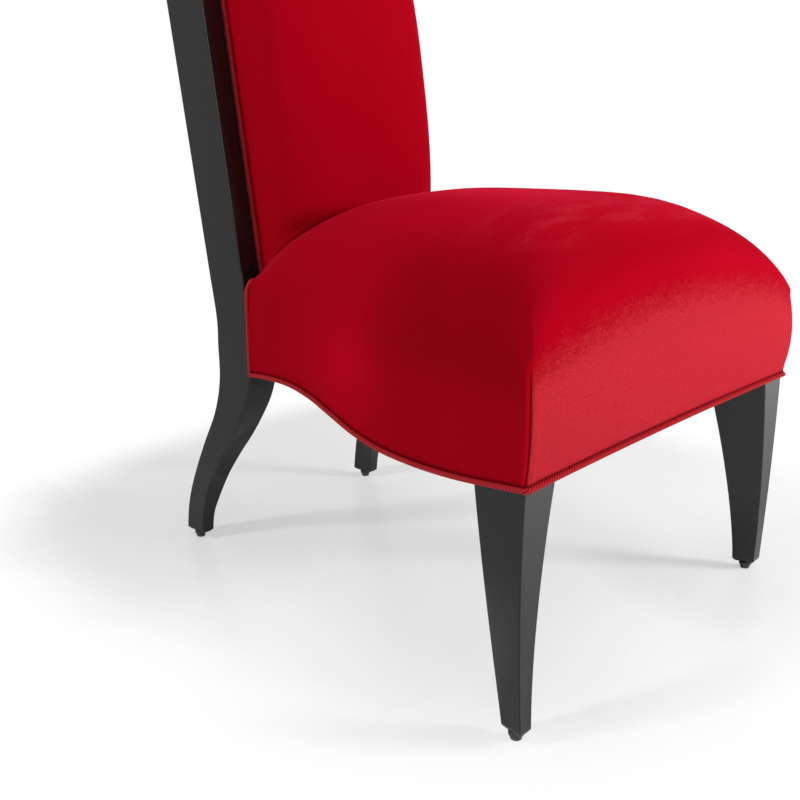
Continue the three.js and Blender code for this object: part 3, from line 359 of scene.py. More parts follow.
@dataclass(frozen=True)
class ChairLines:
    """The chair's own sizes, and the lines that its pieces share."""

    frame_height: float = 962.0
    rear_width: float = 356.0
    front_width: float = 552.4
    seat_depth: float = 495.5
    rail_top: float = 345.0
    knee_height: float = 300.0
    rake_start: float = 340.0
    rake: float = math.radians(9.2)
    crest_height: float = 58.0
    crest_arch: float = 16.0
    apron_low: float = 240.0
    apron_swing: float = 30.0
    front_apron_height: float = 262.0
    front_apron_arch: float = 3.0
    rail_setback: float = 1.8
    piping_radius: float = 2.7
    piping_out: float = 2.95
    cover_out: float = 4.2
    edge_height: float = 366.0
    crown: float = 131.5
    crown_place: float = -351.0
    across_power: float = 2.2
    along_power: float = 3.1
    shoulder_dip: float = 7.0
    shoulder_place: float = 163.0

    @property
    def post_outer(self) -> float:
        """Half the width over the posts."""
        return self.rear_width / 2

    @property
    def slope(self) -> float:
        """How much a side rail goes outwards for each millimetre forwards."""
        return (self.front_width / 2 - self.rear_x) / self.seat_depth

    @property
    def rear_x(self) -> float:
        """Where a side rail's outer face is at the posts."""
        return self.post_outer - self.rail_setback

    @property
    def side_factor(self) -> float:
        """An offset square to the side, measured across the chair."""
        return math.hypot(1.0, self.slope)

    @property
    def post_top(self) -> float:
        """Height of the posts' front edge at the crest rail."""
        return self.frame_height - self.crest_height - self.crest_arch

    @property
    def crest_low(self) -> float:
        """The crest rail's low edge, up the rake."""
        return (self.post_top - self.rake_start) / math.cos(self.rake)

    @property
    def crest_high(self) -> float:
        """The crest rail's ends at the top, up the rake."""
        return self.crest_low + self.crest_height

    def rail_x(self, y: Array) -> Array:
        """The side rail's outer face at a place along the chair."""
        return self.rear_x - self.slope * y

    def side_apron(self, y: Array) -> Array:
        """Height of the serpentine low line of a side: a smooth line through its own points."""
        shares = np.array(
            [[0, 0.7], [0.1, 0.92], [0.2, 1], [0.29, 0.86], [0.37, 0.56], [0.46, 0.21],
             [0.54, 0.04], [0.61, 0], [0.72, 0.08], [0.84, 0.3]]
        )
        low = np.stack(
            [self.seat_depth * shares[:, 0], self.apron_low + self.apron_swing * shares[:, 1]], axis=1
        )
        line = np.vstack([low, [self.seat_depth, self.front_apron_height]])
        dense = through(line, np.linspace(0.0, 1.0, 1200))
        return np.interp(np.clip(-np.asarray(y, float), 0.0, self.seat_depth), dense[:, 0], dense[:, 1])

    def front_apron(self, x: Array) -> Array:
        """Height of the front's low line: a flat arch, highest in the middle."""
        share = np.clip(np.abs(x) / (self.front_width / 2), 0.0, 1.0)
        return self.front_apron_height + self.front_apron_arch * (1.0 - share**2)

    def seat_half(self, y: Array) -> Array:
        """Half the width over the seat's cover."""
        return self.rail_x(y) + self.cover_out * self.side_factor

    @property
    def seat_front(self) -> float:
        """The front of the seat's cover."""
        return -self.seat_depth - self.cover_out

    @property
    def crown_rear(self) -> float:
        """How far the crown's rearward curve reaches from its highest place."""
        return 4.0 - self.crown_place

    def seat_top(self, x: Array, y: Array) -> Array:
        """Height of the seat: its edge plus the crown times a rise across times a rise along.

        The seams draw its rear shoulders down a little.
        """
        reach = np.where(y < self.crown_place, self.crown_place - self.seat_front, self.crown_rear)
        rise = rounded(x / self.seat_half(y), self.across_power)
        rise = rise * rounded((y - self.crown_place) / reach, self.along_power)
        drawn = self.shoulder_dip * bell(np.abs(x) - self.shoulder_place, 13.0) * bell(y - REAR_WALL, 38.0)
        return self.edge_height + self.crown * rise - drawn

    def raked(self, across: Array, up: Array, out: Array) -> Array:
        """Points in the back's own frame, brought into the chair's.

        Args:
            across: Distance across from the middle.
            up: Distance up the rake from where it starts.
            out: Distance forwards from the posts' faces, square to them.

        Returns:
            The points.
        """
        across, up, out = np.broadcast_arrays(across, up, out)
        sine, cosine = math.sin(self.rake), math.cos(self.rake)
        return np.stack(
            [across, up * sine - out * cosine, self.rake_start + up * cosine + out * sine], axis=-1
        )


LINES = ChairLines()


# ---------------------------------------------------------------- finishes


class Tree:
    """A material's nodes, with short ways to the few kinds that the finishes use."""

    def __init__(self, name: str) -> None:
        """Starts a material that has one Principled shader.

        Args:
            name: The material's name.
        """
        self.material = bpy.data.materials.new(name)
        self.material.use_nodes = True
        self.nodes = self.material.node_tree.nodes
        self.links = self.material.node_tree.links
        self.nodes.clear()
        self.output = self.nodes.new("ShaderNodeOutputMaterial")
        self.shader = self.nodes.new("ShaderNodeBsdfPrincipled")
        self.links.new(self.shader.outputs[0], self.output.inputs[0])
        self.place = self.nodes.new("ShaderNodeTexCoord").outputs["Object"]

    def set(self, **values: object) -> "Tree":
        """Sets the shader's own sockets; an underscore in a name stands for a space.

        Args:
            **values: Socket names and values, numbers, colours or other sockets.

        Returns:
            The tree.
        """
        for key, value in values.items():
            self.feed(self.shader.inputs[key.replace("_", " ")], value)
        return self

    def feed(self, socket: bpy.types.NodeSocket, value: object) -> None:
        """Links a socket to a socket, or writes a value into it."""
        if isinstance(value, bpy.types.NodeSocket):
            self.links.new(value, socket)
        elif isinstance(value, tuple) and len(value) == 3 and socket.type == "RGBA":
            socket.default_value = (*value, 1.0)
        else:
            socket.default_value = value

    def mapping(self, scale: tuple[float, float, float], turn: tuple[float, float, float] = (0, 0, 0)) -> object:
        """Object coordinates stretched and turned."""
        node = self.nodes.new("ShaderNodeMapping")
        node.inputs["Scale"].default_value = scale
        node.inputs["Rotation"].default_value = turn
        self.feed(node.inputs["Vector"], self.place)
        return node.outputs[0]

    def noise(self, scale: float, detail: float = 3.0, rough: float = 0.5, warp: float = 0.0, at: object = None) -> object:
        """A noise texture's value."""
        node = self.nodes.new("ShaderNodeTexNoise")
        self.feed(node.inputs["Vector"], at or self.place)
        node.inputs["Scale"].default_value = scale
        node.inputs["Detail"].default_value = detail
        node.inputs["Roughness"].default_value = rough
        node.inputs["Distortion"].default_value = warp
        return node.outputs["Fac"]

    def wave(self, scale: float, axis: str, warp: float = 0.0, at: object = None) -> object:
        """A band texture's value along one axis."""
        node = self.nodes.new("ShaderNodeTexWave")
        node.bands_direction = axis
        self.feed(node.inputs["Vector"], at or self.place)
        node.inputs["Scale"].default_value = scale
        node.inputs["Distortion"].default_value = warp
        return node.outputs["Fac"]

    def cells(self, scale: float, at: object = None) -> object:
        """Distance to the nearest of scattered points."""
        node = self.nodes.new("ShaderNodeTexVoronoi")
        self.feed(node.inputs["Vector"], at or self.place)
        node.inputs["Scale"].default_value = scale
        return node.outputs["Distance"]

    def value(self, name: str) -> object:
        """The piece's own value of a name."""
        node = self.nodes.new("ShaderNodeAttribute")
        node.attribute_name = name
        return node.outputs["Fac"]

    def math(self, kind: str, a: object, b: object = 0.0) -> object:
        """One sum of two values."""
        node = self.nodes.new("ShaderNodeMath")
        node.operation = kind
        self.feed(node.inputs[0], a)
        self.feed(node.inputs[1], b)
        return node.outputs[0]

    def spread(self, value: object, low: float, high: float, to_low: float = 0.0, to_high: float = 1.0) -> object:
        """A value's range stretched over another, and kept within it."""
        node = self.nodes.new("ShaderNodeMapRange")
        for socket, number in zip(node.inputs, (value, low, high, to_low, to_high)):
            self.feed(socket, number)
        return node.outputs[0]

    def blend(self, share: object, a: object, b: object) -> object:
        """A colour between two."""
        node = self.nodes.new("ShaderNodeMix")
        node.data_type = "RGBA"
        self.feed(node.inputs[0], share)
        self.feed(node.inputs[6], a)
        self.feed(node.inputs[7], b)
        return node.outputs[2]

    def bump(self, height: object, distance: float, strength: float = 1.0, after: object = None) -> object:
        """A normal from a height, in metres."""
        node = self.nodes.new("ShaderNodeBump")
        node.inputs["Strength"].default_value = strength
        node.inputs["Distance"].default_value = distance
        self.feed(node.inputs["Height"], height)
        if after is not None:
            self.feed(node.inputs["Normal"], after)
        return node.outputs[0]


@dataclass(frozen=True)
class Lacquer:
    """Black gloss lacquer: a faint grain under it, smudges in its gloss, and rubbed edges."""

    name: str = "black_lacquer"
    black: tuple[float, float, float] = (0.0048, 0.0049, 0.0050)
    rubbed: tuple[float, float, float] = (0.020, 0.012, 0.008)

    def material(self) -> bpy.types.Material:
        """Black, browner where the edge mask meets a noise; gloss varies by two noises."""
        tree = Tree(self.name)
        edge = tree.value("edge")
        worn = tree.math("MULTIPLY", edge, tree.spread(tree.noise(55.0, 4.0, 0.6), 0.55, 0.75))
        smudge = tree.noise(9.0, 5.0, 0.6, 0.6)
        fine = tree.noise(160.0, 3.0)
        base = tree.blend(tree.math("MULTIPLY", worn, 0.7), self.black, self.rubbed)
        gloss = tree.spread(smudge, 0.3, 0.7, 0.055, 0.10)
        gloss = tree.math("ADD", gloss, tree.math("MULTIPLY", fine, 0.02))
        gloss = tree.math("ADD", gloss, tree.math("MULTIPLY", worn, 0.16))
        grain = tree.noise(1.0, 4.0, 0.6, 0.3, tree.mapping((420.0, 420.0, 22.0)))
        peel = tree.noise(520.0, 2.0)
        normal = tree.bump(grain, 0.00006, 0.25)
        normal = tree.bump(peel, 0.00004, 0.35, normal)
        tree.set(Base_Color=base, Roughness=gloss, Normal=normal, IOR=1.5)
        return tree.material


@dataclass(frozen=True)
class Velvet:
    """Cut velvet: deep red with a sheen at grazing light, and painted light and shade in its colour.

    Values on a piece steer the colour: "open" below 0 paints it darker and above 0 lighter, as
    painted light and shade; "lit" is 1 where the key lamp's light is painted on; "stroked" where a
    hand has left marks in the pile, painted paler as sheen streaks; "turned" where a painted
    highlight runs along an edge; and "seam" in a seam's painted shade.
    """

    name: str = "red_velvet"
    deep: tuple[float, float, float] = (0.190, 0.0002, 0.0030)
    bright: tuple[float, float, float] = (0.470, 0.0008, 0.0105)
    # lit: the key lamp's light painted on the seat's front.
    lit: tuple[float, float, float] = (0.520, 0.0230, 0.0350)
    # stroked: stroke marks in the pile, painted paler as sheen streaks.
    stroked: tuple[float, float, float] = (0.400, 0.0140, 0.0260)
    # turned: a painted highlight along the corner seams and above the lit arch.
    turned: tuple[float, float, float] = (0.500, 0.0010, 0.0140)
    shade: tuple[float, float, float] = (0.060, 0.0002, 0.0010)
    sheen: float = 0.30
    sheen_tint: tuple[float, float, float] = (1.0, 0.035, 0.11)

    def material(self) -> bpy.types.Material:
        """Colour goes between reds by soft patches, by pile grain, and by the piece's values, which paint light,
        shade and sheen streaks onto it.
        """
        tree = Tree(self.name)
        slow = tree.noise(1.0, 2.0, 0.5, 0.4, tree.mapping((4.0, 4.0, 3.0)))
        pile = tree.noise(950.0, 2.0, 0.6)
        tuft = tree.noise(300.0, 3.0, 0.65)
        grain = tree.math("ADD", tree.math("MULTIPLY", pile, 0.6), tree.math("MULTIPLY", tuft, 0.4))
        share = tree.math("ADD", tree.spread(slow, 0.35, 0.65, 0.40, 0.50), tree.spread(grain, 0.3, 0.7, -0.06, 0.06))
        # The "open" value adds painted light and shade, between the deep and the bright red.
        share = tree.math("ADD", share, tree.value("open"))
        base = tree.blend(share, self.deep, self.bright)
        ruffle = tree.noise(60.0, 4.0, 0.7)
        # The key lamp's light is painted on the front where "lit" is set: lit is its grainy mask, pale its colour.
        edge = tree.math("ADD", tree.value("lit"), tree.spread(grain, 0.3, 0.7, -0.34, 0.34))
        edge = tree.math("ADD", edge, tree.spread(ruffle, 0.3, 0.7, -0.10, 0.10))
        lit = tree.math("MULTIPLY", tree.spread(edge, 0.28, 0.86), tree.spread(tree.value("lit"), 0.0, 0.12))
        pale = tree.blend(tree.spread(grain, 0.35, 0.65), tuple(0.74 * c for c in self.lit), self.lit)
        # A painted highlight where "turned" is set.
        base = tree.blend(tree.math("MULTIPLY", tree.value("turned"), 0.8), base, self.turned)
        base = tree.blend(lit, base, pale)
        # Stroke marks in the pile, painted paler as sheen streaks where "stroked" is set.
        strokes = tree.noise(1.0, 4.0, 0.6, 0.0, tree.mapping((13.0, 46.0, 20.0), (0.0, 0.0, -0.83)))
        strokes = tree.math("ADD", strokes, tree.spread(grain, 0.3, 0.7, -0.07, 0.07))
        marks = tree.math("MULTIPLY", tree.spread(strokes, 0.46, 0.64), tree.value("stroked"))
        base = tree.blend(tree.math("MULTIPLY", marks, 0.6), base, self.stroked)
        base = tree.blend(tree.math("MULTIPLY", tree.value("seam"), 0.85), base, self.shade)
        normal = tree.bump(tuft, 0.0005, 0.40)
        normal = tree.bump(pile, 0.00035, 0.55, normal)
        tree.set(
            Base_Color=base, Roughness=0.95, Normal=normal, Specular_IOR_Level=0.02,
            Sheen_Weight=self.sheen, Sheen_Roughness=0.34, Sheen_Tint=self.sheen_tint,
        )
        return tree.material


@dataclass(frozen=True)
class RibbedCloth:
    """The piping's ribbed silk: a little more orange than the velvet, with painted shade between its ribs."""

    name: str = "ribbed_piping"
    rib: tuple[float, float, float] = (0.60, 0.016, 0.026)
    painted_groove_shade: tuple[float, float, float] = (0.115, 0.0008, 0.003)

    def material(self) -> bpy.types.Material:
        """Colour follows the rib's height, darker low between the ribs as painted shade, with a thread noise over it.
        """
        tree = Tree(self.name)
        height = tree.value("rib")
        thread = tree.noise(1400.0, 2.0, 0.6)
        slow = tree.noise(30.0, 2.0)
        share = tree.spread(height, 0.40, 0.96)
        # Painted shade in the grooves between the ribs.
        base = tree.blend(share, self.painted_groove_shade, self.rib)
        base = tree.blend(tree.spread(slow, 0.3, 0.7, 0.0, 0.25), base, (0.30, 0.012, 0.014))
        normal = tree.bump(thread, 0.00012, 0.6)
        tree.set(
            Base_Color=base, Roughness=0.62, Normal=normal, Specular_IOR_Level=0.15,
            Sheen_Weight=0.15, Sheen_Roughness=0.4, Sheen_Tint=(1.0, 0.12, 0.14),
        )
        return tree.material


@dataclass(frozen=True)
class MouldedNylon:
    """Dark grey nylon for the glides, scuffed on its foot."""

    name: str = "dark_nylon"

    def material(self) -> bpy.types.Material:
        """Dark grey with a fine mould grain, paler in scuffs near the floor."""
        tree = Tree(self.name)
        split = tree.nodes.new("ShaderNodeSeparateXYZ")
        tree.feed(split.inputs[0], tree.place)
        low = tree.spread(split.outputs["Z"], 0.0035, 0.0, 0.0, 1.0)
        scuff = tree.math("MULTIPLY", low, tree.spread(tree.noise(400.0, 4.0, 0.7), 0.45, 0.6))
        base = tree.blend(scuff, (0.035, 0.035, 0.036), (0.20, 0.19, 0.18))
        normal = tree.bump(tree.noise(1500.0, 2.0), 0.00005, 0.5)
        tree.set(Base_Color=base, Roughness=tree.spread(scuff, 0.0, 1.0, 0.3, 0.6), Normal=normal)
        return tree.material


@dataclass(frozen=True)
class SawnWood:
    """Bare wood of the inner frame: growth bands along its length, with darker pores."""

    name: str
    pale: tuple[float, float, float]
    dark: tuple[float, float, float]
    along: tuple[float, float, float] = (6.0, 60.0, 60.0)

    def material(self) -> bpy.types.Material:
        """Bands from a stretched noise, and pores from a finer one."""
        tree = Tree(self.name)
        at = tree.mapping(self.along)
        bands = tree.noise(1.0, 5.0, 0.6, 0.8, at)
        pores = tree.spread(tree.noise(14.0, 3.0, 0.7, 0.0, at), 0.58, 0.72)
        base = tree.blend(tree.spread(bands, 0.3, 0.7), self.pale, self.dark)
        base = tree.blend(tree.math("MULTIPLY", pores, 0.5), base, tuple(c * 0.35 for c in self.dark))
        rough = tree.spread(bands, 0.3, 0.7, 0.58, 0.74)
        tree.set(Base_Color=base, Roughness=rough, Normal=tree.bump(pores, -0.0002, 0.4))
        return tree.material


@dataclass(frozen=True)
class Weave:
    """A plain woven cloth: two crossed bands of threads, with stray fibres."""

    name: str
    pale: tuple[float, float, float]
    dark: tuple[float, float, float]
    threads: float
    rough: float = 0.95

    def material(self) -> bpy.types.Material:
        """Thread height is the greater of two crossed bands; its hollows are darker."""
        tree = Tree(self.name)
        warp = tree.wave(self.threads, "X", 0.6)
        weft = tree.wave(self.threads, "Y", 0.6)
        height = tree.math("MAXIMUM", warp, weft)
        fibre = tree.noise(self.threads * 6.0, 3.0, 0.6)
        share = tree.math("MULTIPLY", height, tree.spread(fibre, 0.2, 0.8, 0.5, 1.0))
        base = tree.blend(share, self.dark, self.pale)
        normal = tree.bump(share, 0.0004, 0.8)
        tree.set(Base_Color=base, Roughness=self.rough, Normal=normal, Specular_IOR_Level=0.2)
        return tree.material


@dataclass(frozen=True)
class BrightSteel:
    """Zinc-plated steel of screws and staples: a mottled plating over fine turning marks."""

    name: str = "plated_steel"

    def material(self) -> bpy.types.Material:
        """Grey metal whose colour and gloss vary by two noises."""
        tree = Tree(self.name)
        mottle = tree.noise(300.0, 3.0)
        base = tree.blend(mottle, (0.42, 0.43, 0.45), (0.62, 0.61, 0.58))
        rough = tree.spread(tree.noise(900.0, 2.0), 0.3, 0.7, 0.26, 0.44)
        tree.set(Base_Color=base, Roughness=rough, Metallic=1.0)
        return tree.material


class Finish(Enum):
    """The chair's finishes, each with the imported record's name for it."""

    LACQUER = "lacquer"
    VELVET = "velvet"
    PIPING = "piping"
    GLIDE = "glide"
    HARDWOOD = "hardwood"
    PLYWOOD = "plywood"
    # Near-black plywood for the back panel and side rails: painted shade, so the hairline gaps round the back pad
    # read dark.
    NEAR_BLACK_SHADE = "stained plywood"
    WEBBING = "webbing"
    HESSIAN = "hessian"
    DUSTCLOTH = "dustcloth"
    STEEL = "steel"


class Paintbox:
    """Makes each finish's material once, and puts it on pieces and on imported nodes."""

    def __init__(self) -> None:
        """Makes the materials."""
        self.materials = {
            Finish.LACQUER: Lacquer().material(),
            Finish.VELVET: Velvet().material(),
            Finish.PIPING: RibbedCloth().material(),
            Finish.GLIDE: MouldedNylon().material(),
            Finish.HARDWOOD: SawnWood("beech", (0.52, 0.34, 0.19), (0.36, 0.21, 0.11)).material(),
            Finish.PLYWOOD: SawnWood(
                "birch_plywood", (0.62, 0.47, 0.30), (0.50, 0.35, 0.20), (40.0, 40.0, 5.0)
            ).material(),
            # Near-black, as painted shade in the gaps round the back pad.
            Finish.NEAR_BLACK_SHADE: SawnWood(
                "near_black_shade_plywood", (0.012, 0.008, 0.007), (0.006, 0.004, 0.004), (40.0, 40.0, 5.0)
            ).material(),
            Finish.WEBBING: Weave("jute_webbing", (0.42, 0.31, 0.18), (0.14, 0.09, 0.045), 90.0).material(),
            Finish.HESSIAN: Weave("hessian", (0.36, 0.27, 0.15), (0.10, 0.07, 0.035), 130.0).material(),
            Finish.DUSTCLOTH: Weave("black_cambric", (0.022, 0.022, 0.023), (0.006, 0.006, 0.006), 330.0).material(),
            Finish.STEEL: BrightSteel().material(),
        }

    def dress(self, piece: bpy.types.Object, finish: Finish, *stands_for: str) -> bpy.types.Object:
        """Gives a new piece its finish, its place on the chair, and the nodes it stands for.

        Args:
            piece: The piece.
            finish: Its finish.
            *stands_for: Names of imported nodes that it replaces.

        Returns:
            The piece.
        """
        piece.data.materials.clear()
        piece.data.materials.append(self.materials[finish])
        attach(piece, "root")
        if stands_for:
            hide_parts(*stands_for)
        log.info("%s: %d points, stands for %s", piece.name, len(piece.data.vertices), stands_for or "nothing")
        return piece

    def repaint(self, node: str, finish: Finish) -> None:
        """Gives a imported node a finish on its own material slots."""
        for material_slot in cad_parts[node].material_slots:
            material_slot.material = self.materials[finish]
        log.info("%s keeps its packed shape, in %s", node, finish.value)


# ---------------------------------------------------------------- work on meshes


def carved(piece: bpy.types.Object, cutters: list[Shape]) -> bpy.types.Object:
    """Cuts closed shapes out of a piece, and leaves no modifier on it.

    Args:
        piece: The piece.
        cutters: The shapes to take away.

    Returns:
        The piece, with its new mesh.
    """
    for shape in cutters:
        tool = shape.build("cutter")
        modifier = piece.modifiers.new("cut", "BOOLEAN")
        modifier.operation = "DIFFERENCE"
        modifier.solver = "EXACT"
        modifier.object = tool
        made = bpy.data.meshes.new_from_object(piece.evaluated_get(bpy.context.evaluated_depsgraph_get()))
        piece.modifiers.clear()
        old, piece.data = piece.data, made
        made.name = piece.name
        bpy.data.meshes.remove(old)
        bpy.data.objects.remove(tool)
    piece.data.set_sharp_from_angle(angle=math.radians(40.0))
    return piece


def block(low: Array, high: Array) -> Array:
    """The eight corners between two corners, low face first."""
    x0, y0, z0 = low
    x1, y1, z1 = high
    return np.array(
        [[x0, y0, z0], [x1, y0, z0], [x1, y1, z0], [x0, y1, z0],
         [x0, y0, z1], [x1, y0, z1], [x1, y1, z1], [x0, y1, z1]], float
    )


BLOCK_FACES = np.array(
    [[0, 3, 2, 1], [4, 5, 6, 7], [0, 1, 5, 4], [1, 2, 6, 5], [2, 3, 7, 6], [3, 0, 4, 7]]
)


@dataclass
class ClothSettling:
    """Blows a cushion's cover up a little as cloth, and reads how far each place has moved.

    The cover starts slightly small, is cut again into even voxels and simulated under pressure
    without gravity; its movement is capped, averaged in cells and read back at the fine points.
    """

    voxel: float = 6.0
    pressure: float = 4.0
    frames: int = 20
    slack: float = 2.6
    cap: float = 3.4
    cell: float = 16.0

    def moved(self, shape: Shape, held: Callable[[Array], Array]) -> Array:
        """The cover's points after it has settled.

        Args:
            shape: The closed cover.
            held: Gives 1 for points that are tacked down and 0 for free ones.

        Returns:
            The new points.
        """
        normals = point_normals(shape.points, shape.polygons)
        if enclosed(shape.points, shape.polygons) < 0:
            normals = -normals
        free = 1.0 - held(shape.points)
        small = shape.points - normals * (self.slack * free)[:, None]
        rest, now = self.simulated(Shape(small, shape.polygons), held)
        shift = now - rest
        length = np.linalg.norm(shift, axis=1, keepdims=True)
        shift = shift * np.minimum(1.0, self.cap / np.maximum(length, 1e-9))
        return small + self.read_back(rest, shift, small) * free[:, None]

    def simulated(self, shape: Shape, held: Callable[[Array], Array]) -> tuple[Array, Array]:
        """Runs the cloth and gives its points before and after, in millimetres."""
        piece = shape.build("settling")
        remesh = piece.modifiers.new("even", "REMESH")
        remesh.mode = "VOXEL"
        remesh.voxel_size = self.voxel * MM
        remesh.adaptivity = 0.0
        even = bpy.data.meshes.new_from_object(piece.evaluated_get(bpy.context.evaluated_depsgraph_get()))
        piece.modifiers.clear()
        piece.data = even
        rest = self.read_points(even)
        group = piece.vertex_groups.new(name="tacked")
        tacked = np.nonzero(held(rest) > 0.5)[0]
        group.add([int(k) for k in tacked], 1.0, "REPLACE")
        cloth = piece.modifiers.new("cloth", "CLOTH")
        cloth.settings.quality = 5
        cloth.settings.use_pressure = True
        cloth.settings.uniform_pressure_force = self.pressure
        cloth.settings.effector_weights.gravity = 0.0
        cloth.settings.vertex_group_mass = group.name
        cloth.settings.tension_stiffness = 20.0
        cloth.settings.compression_stiffness = 12.0
        cloth.settings.shear_stiffness = 6.0
        cloth.settings.bending_stiffness = 1.5
        cloth.point_cache.frame_start = 1
        cloth.point_cache.frame_end = self.frames
        scene = bpy.context.scene
        for number in range(1, self.frames + 1):
            scene.frame_set(number)
        view = bpy.context.evaluated_depsgraph_get()
        now = self.read_points(piece.evaluated_get(view).data)
        scene.frame_set(1)
        bpy.data.objects.remove(piece)
        return rest, now

    @staticmethod
    def read_points(mesh: bpy.types.Mesh) -> Array:
        """A mesh's points in millimetres, in the building frame."""
        flat = np.empty(len(mesh.vertices) * 3, np.float32)
        mesh.vertices.foreach_get("co", flat)
        return flat.reshape(-1, 3).astype(float) / MM - [0.0, SHIFT_Y, 0.0]

    def read_back(self, rest: Array, shift: Array, at: Array) -> Array:
        """Movement at other points: cell means, softened over their neighbours, read between cells."""
        low = rest.min(0) - 3 * self.cell
        size = ((rest.max(0) + 3 * self.cell - low) / self.cell).astype(int) + 2
        total, count = np.zeros((*size, 3)), np.zeros((*size, 1))
        spot = tuple(((rest - low) / self.cell).astype(int).T)
        np.add.at(total, spot, shift)
        np.add.at(count, spot, 1.0)
        for axis in range(3):
            total = total + 0.5 * (np.roll(total, 1, axis) + np.roll(total, -1, axis))
            count = count + 0.5 * (np.roll(count, 1, axis) + np.roll(count, -1, axis))
        mean = total / np.maximum(count, 1e-6)
        weight = np.minimum(count, 1.0)
        place = (at - low) / self.cell - 0.5
        corner = np.floor(place).astype(int)
        inside = place - corner
        moved, held_weight = np.zeros_like(at), np.zeros((len(at), 1))
        for k in range(8):
            step = np.array([k & 1, (k >> 1) & 1, (k >> 2) & 1])
            share = np.prod(np.where(step, inside, 1.0 - inside), axis=1, keepdims=True)
            cell = tuple(np.clip(corner + step, 0, size - 1).T)
            moved += mean[cell] * share * weight[cell]
            held_weight += share * weight[cell]
        return moved / np.maximum(held_weight, 1e-6)


# ---------------------------------------------------------------- the lacquered frame


@dataclass
class BackPost:
    """A rear leg and back post sawn from one board: a sabre leg below, a raked post above."""

    thickness: float = 44.6
    depth_low: float = 64.5
    depth_high: float = 72.0
    reach: float = 155.5
    foot_height: float = 10.0
    foot_chamfer: float = 3.0
    rows: int = 170
    section: Section = field(default_factory=Section)

    EDGES = np.array(
        [[0.768, 0, 1, 0, 0.43], [0.746, 0.097, 0.968, 0.117, 0.46], [0.691, 0.193, 0.903, 0.228, 0.58],
         [0.608, 0.303, 0.794, 0.359, 0.73], [0.46, 0.421, 0.659, 0.497, 0.8],
         [0.28, 0.541, 0.518, 0.631, 0.83], [0.145, 0.652, 0.444, 0.734, 0.89],
         [0.055, 0.755, 0.41, 0.821, 0.98], [0.006, 0.852, 0.404, 0.89, 1], [0, 0.966, 0.408, 0.972, 1]]
    )

    def lines(self) -> tuple[Array, Array, Array]:
        """The front edge, the rear edge (height and place) and the thickness, at their own points."""
        rise = LINES.knee_height - self.foot_height
        front = np.stack([self.foot_height + rise * self.EDGES[:, 1], self.reach * self.EDGES[:, 0]], axis=1)
        rear = np.stack([self.foot_height + rise * self.EDGES[:, 3], self.reach * self.EDGES[:, 2]], axis=1)
        share = np.array([0, 0.12, 0.4, 0.7, 1.0])
        height = LINES.rake_start + (LINES.post_top - LINES.rake_start) * share
        upper = np.stack([height, (height - LINES.rake_start) * math.tan(LINES.rake)], axis=1)
        depth = self.depth_low + (self.depth_high - self.depth_low) * share
        back = upper + depth[:, None] * [-math.sin(LINES.rake), math.cos(LINES.rake)]
        thick = self.thickness * np.concatenate([self.EDGES[:, 4], np.ones(5)])
        number = np.arange(len(thick), dtype=float)
        return np.vstack([front, upper]), np.vstack([rear, back]), np.stack([number, thick], axis=1)

    def rear_line(self) -> Array:
        """Height and place of the rear edge, densely."""
        return through(self.lines()[1], np.linspace(0.0, 1.0, 800))

    def shape(self) -> Shape:
        """The post as a loft: each row spans from the front line to the rear line."""
        front_line, rear_line, thick_line = self.lines()
        start = np.array([0.0, 0.0, 0.0, 0.0])
        inset = np.array([3.0, 2.3, 0.9, 0.0])
        lift = np.array([0.0, 0.25, 2.1, 3.4])
        share = np.concatenate([start, np.linspace(0.0, 1.0, self.rows)[2:]])
        inset = np.concatenate([inset, np.zeros(self.rows - 2)])
        lift = np.concatenate([lift, np.zeros(self.rows - 2)])
        front, rear = through(front_line, share), through(rear_line, share)
        thick = through(thick_line, share)[:, 1]
        run = rear - front
        depth = np.linalg.norm(run, axis=1)
        run = run / depth[:, None]
        points, edge = self.section.rows(thick, depth, inset)
        across, along = points[..., 0], points[..., 1]
        rings = np.stack(
            [
                across - LINES.post_outer,
                front[:, None, 1] + run[:, None, 1] * along,
                front[:, None, 0] + run[:, None, 0] * along + lift[:, None],
            ],
            axis=2,
        )
        edge = np.maximum(edge, np.repeat(inset > 0, points.shape[1]))
        return tube(rings, {"edge": edge})


@dataclass
class FrontLeg:
    """A front leg: a four-sided taper with a slight bow, whose outer side runs along the seat."""

    top_width: float = 47.3
    top_depth: float = 71.5
    foot_width: float = 19.0
    foot_depth: float = 27.5
    lean: float = 6.5
    width_power: float = 1.45
    depth_power: float = 1.2
    bow: float = 2.8
    foot_height: float = 10.0
    rows: int = 70
    section: Section = field(default_factory=lambda: Section(radius=1.4))

    def shape(self) -> Shape:
        """The leg as a loft: width and depth grow by powers of the height, and the corner leans in."""
        top = LINES.front_apron_height
        height = np.concatenate(
            [self.foot_height + np.array([0.0, 0.25, 2.1, 3.4]),
             np.linspace(self.foot_height, top, self.rows)[2:], [LINES.rail_top]]
        )
        inset = np.concatenate([[3.0, 2.3, 0.9, 0.0], np.zeros(self.rows - 1)])
        rise = np.clip((height - self.foot_height) / (top - self.foot_height), 0.0, 1.0)
        width = self.foot_width + (self.top_width - self.foot_width) * rise**self.width_power
        depth = self.foot_depth + (self.top_depth - self.foot_depth) * rise**self.depth_power
        lean = self.lean * (1.0 - rise) * (1.0 - self.bow * rise)
        points, edge = self.section.rows(width, depth, inset)
        side = unit(np.array([LINES.slope, 1.0]))
        across, along = points[..., 0], points[..., 1]
        rings = np.stack(
            [
                lean[:, None] - LINES.front_width / 2 + across + side[0] * along,
                -LINES.seat_depth + side[1] * along,
                np.broadcast_to(height[:, None], across.shape),
            ],
            axis=2,
        )
        edge = np.maximum(edge, np.repeat(inset > 0, points.shape[1]))
        return tube(rings, {"edge": edge})


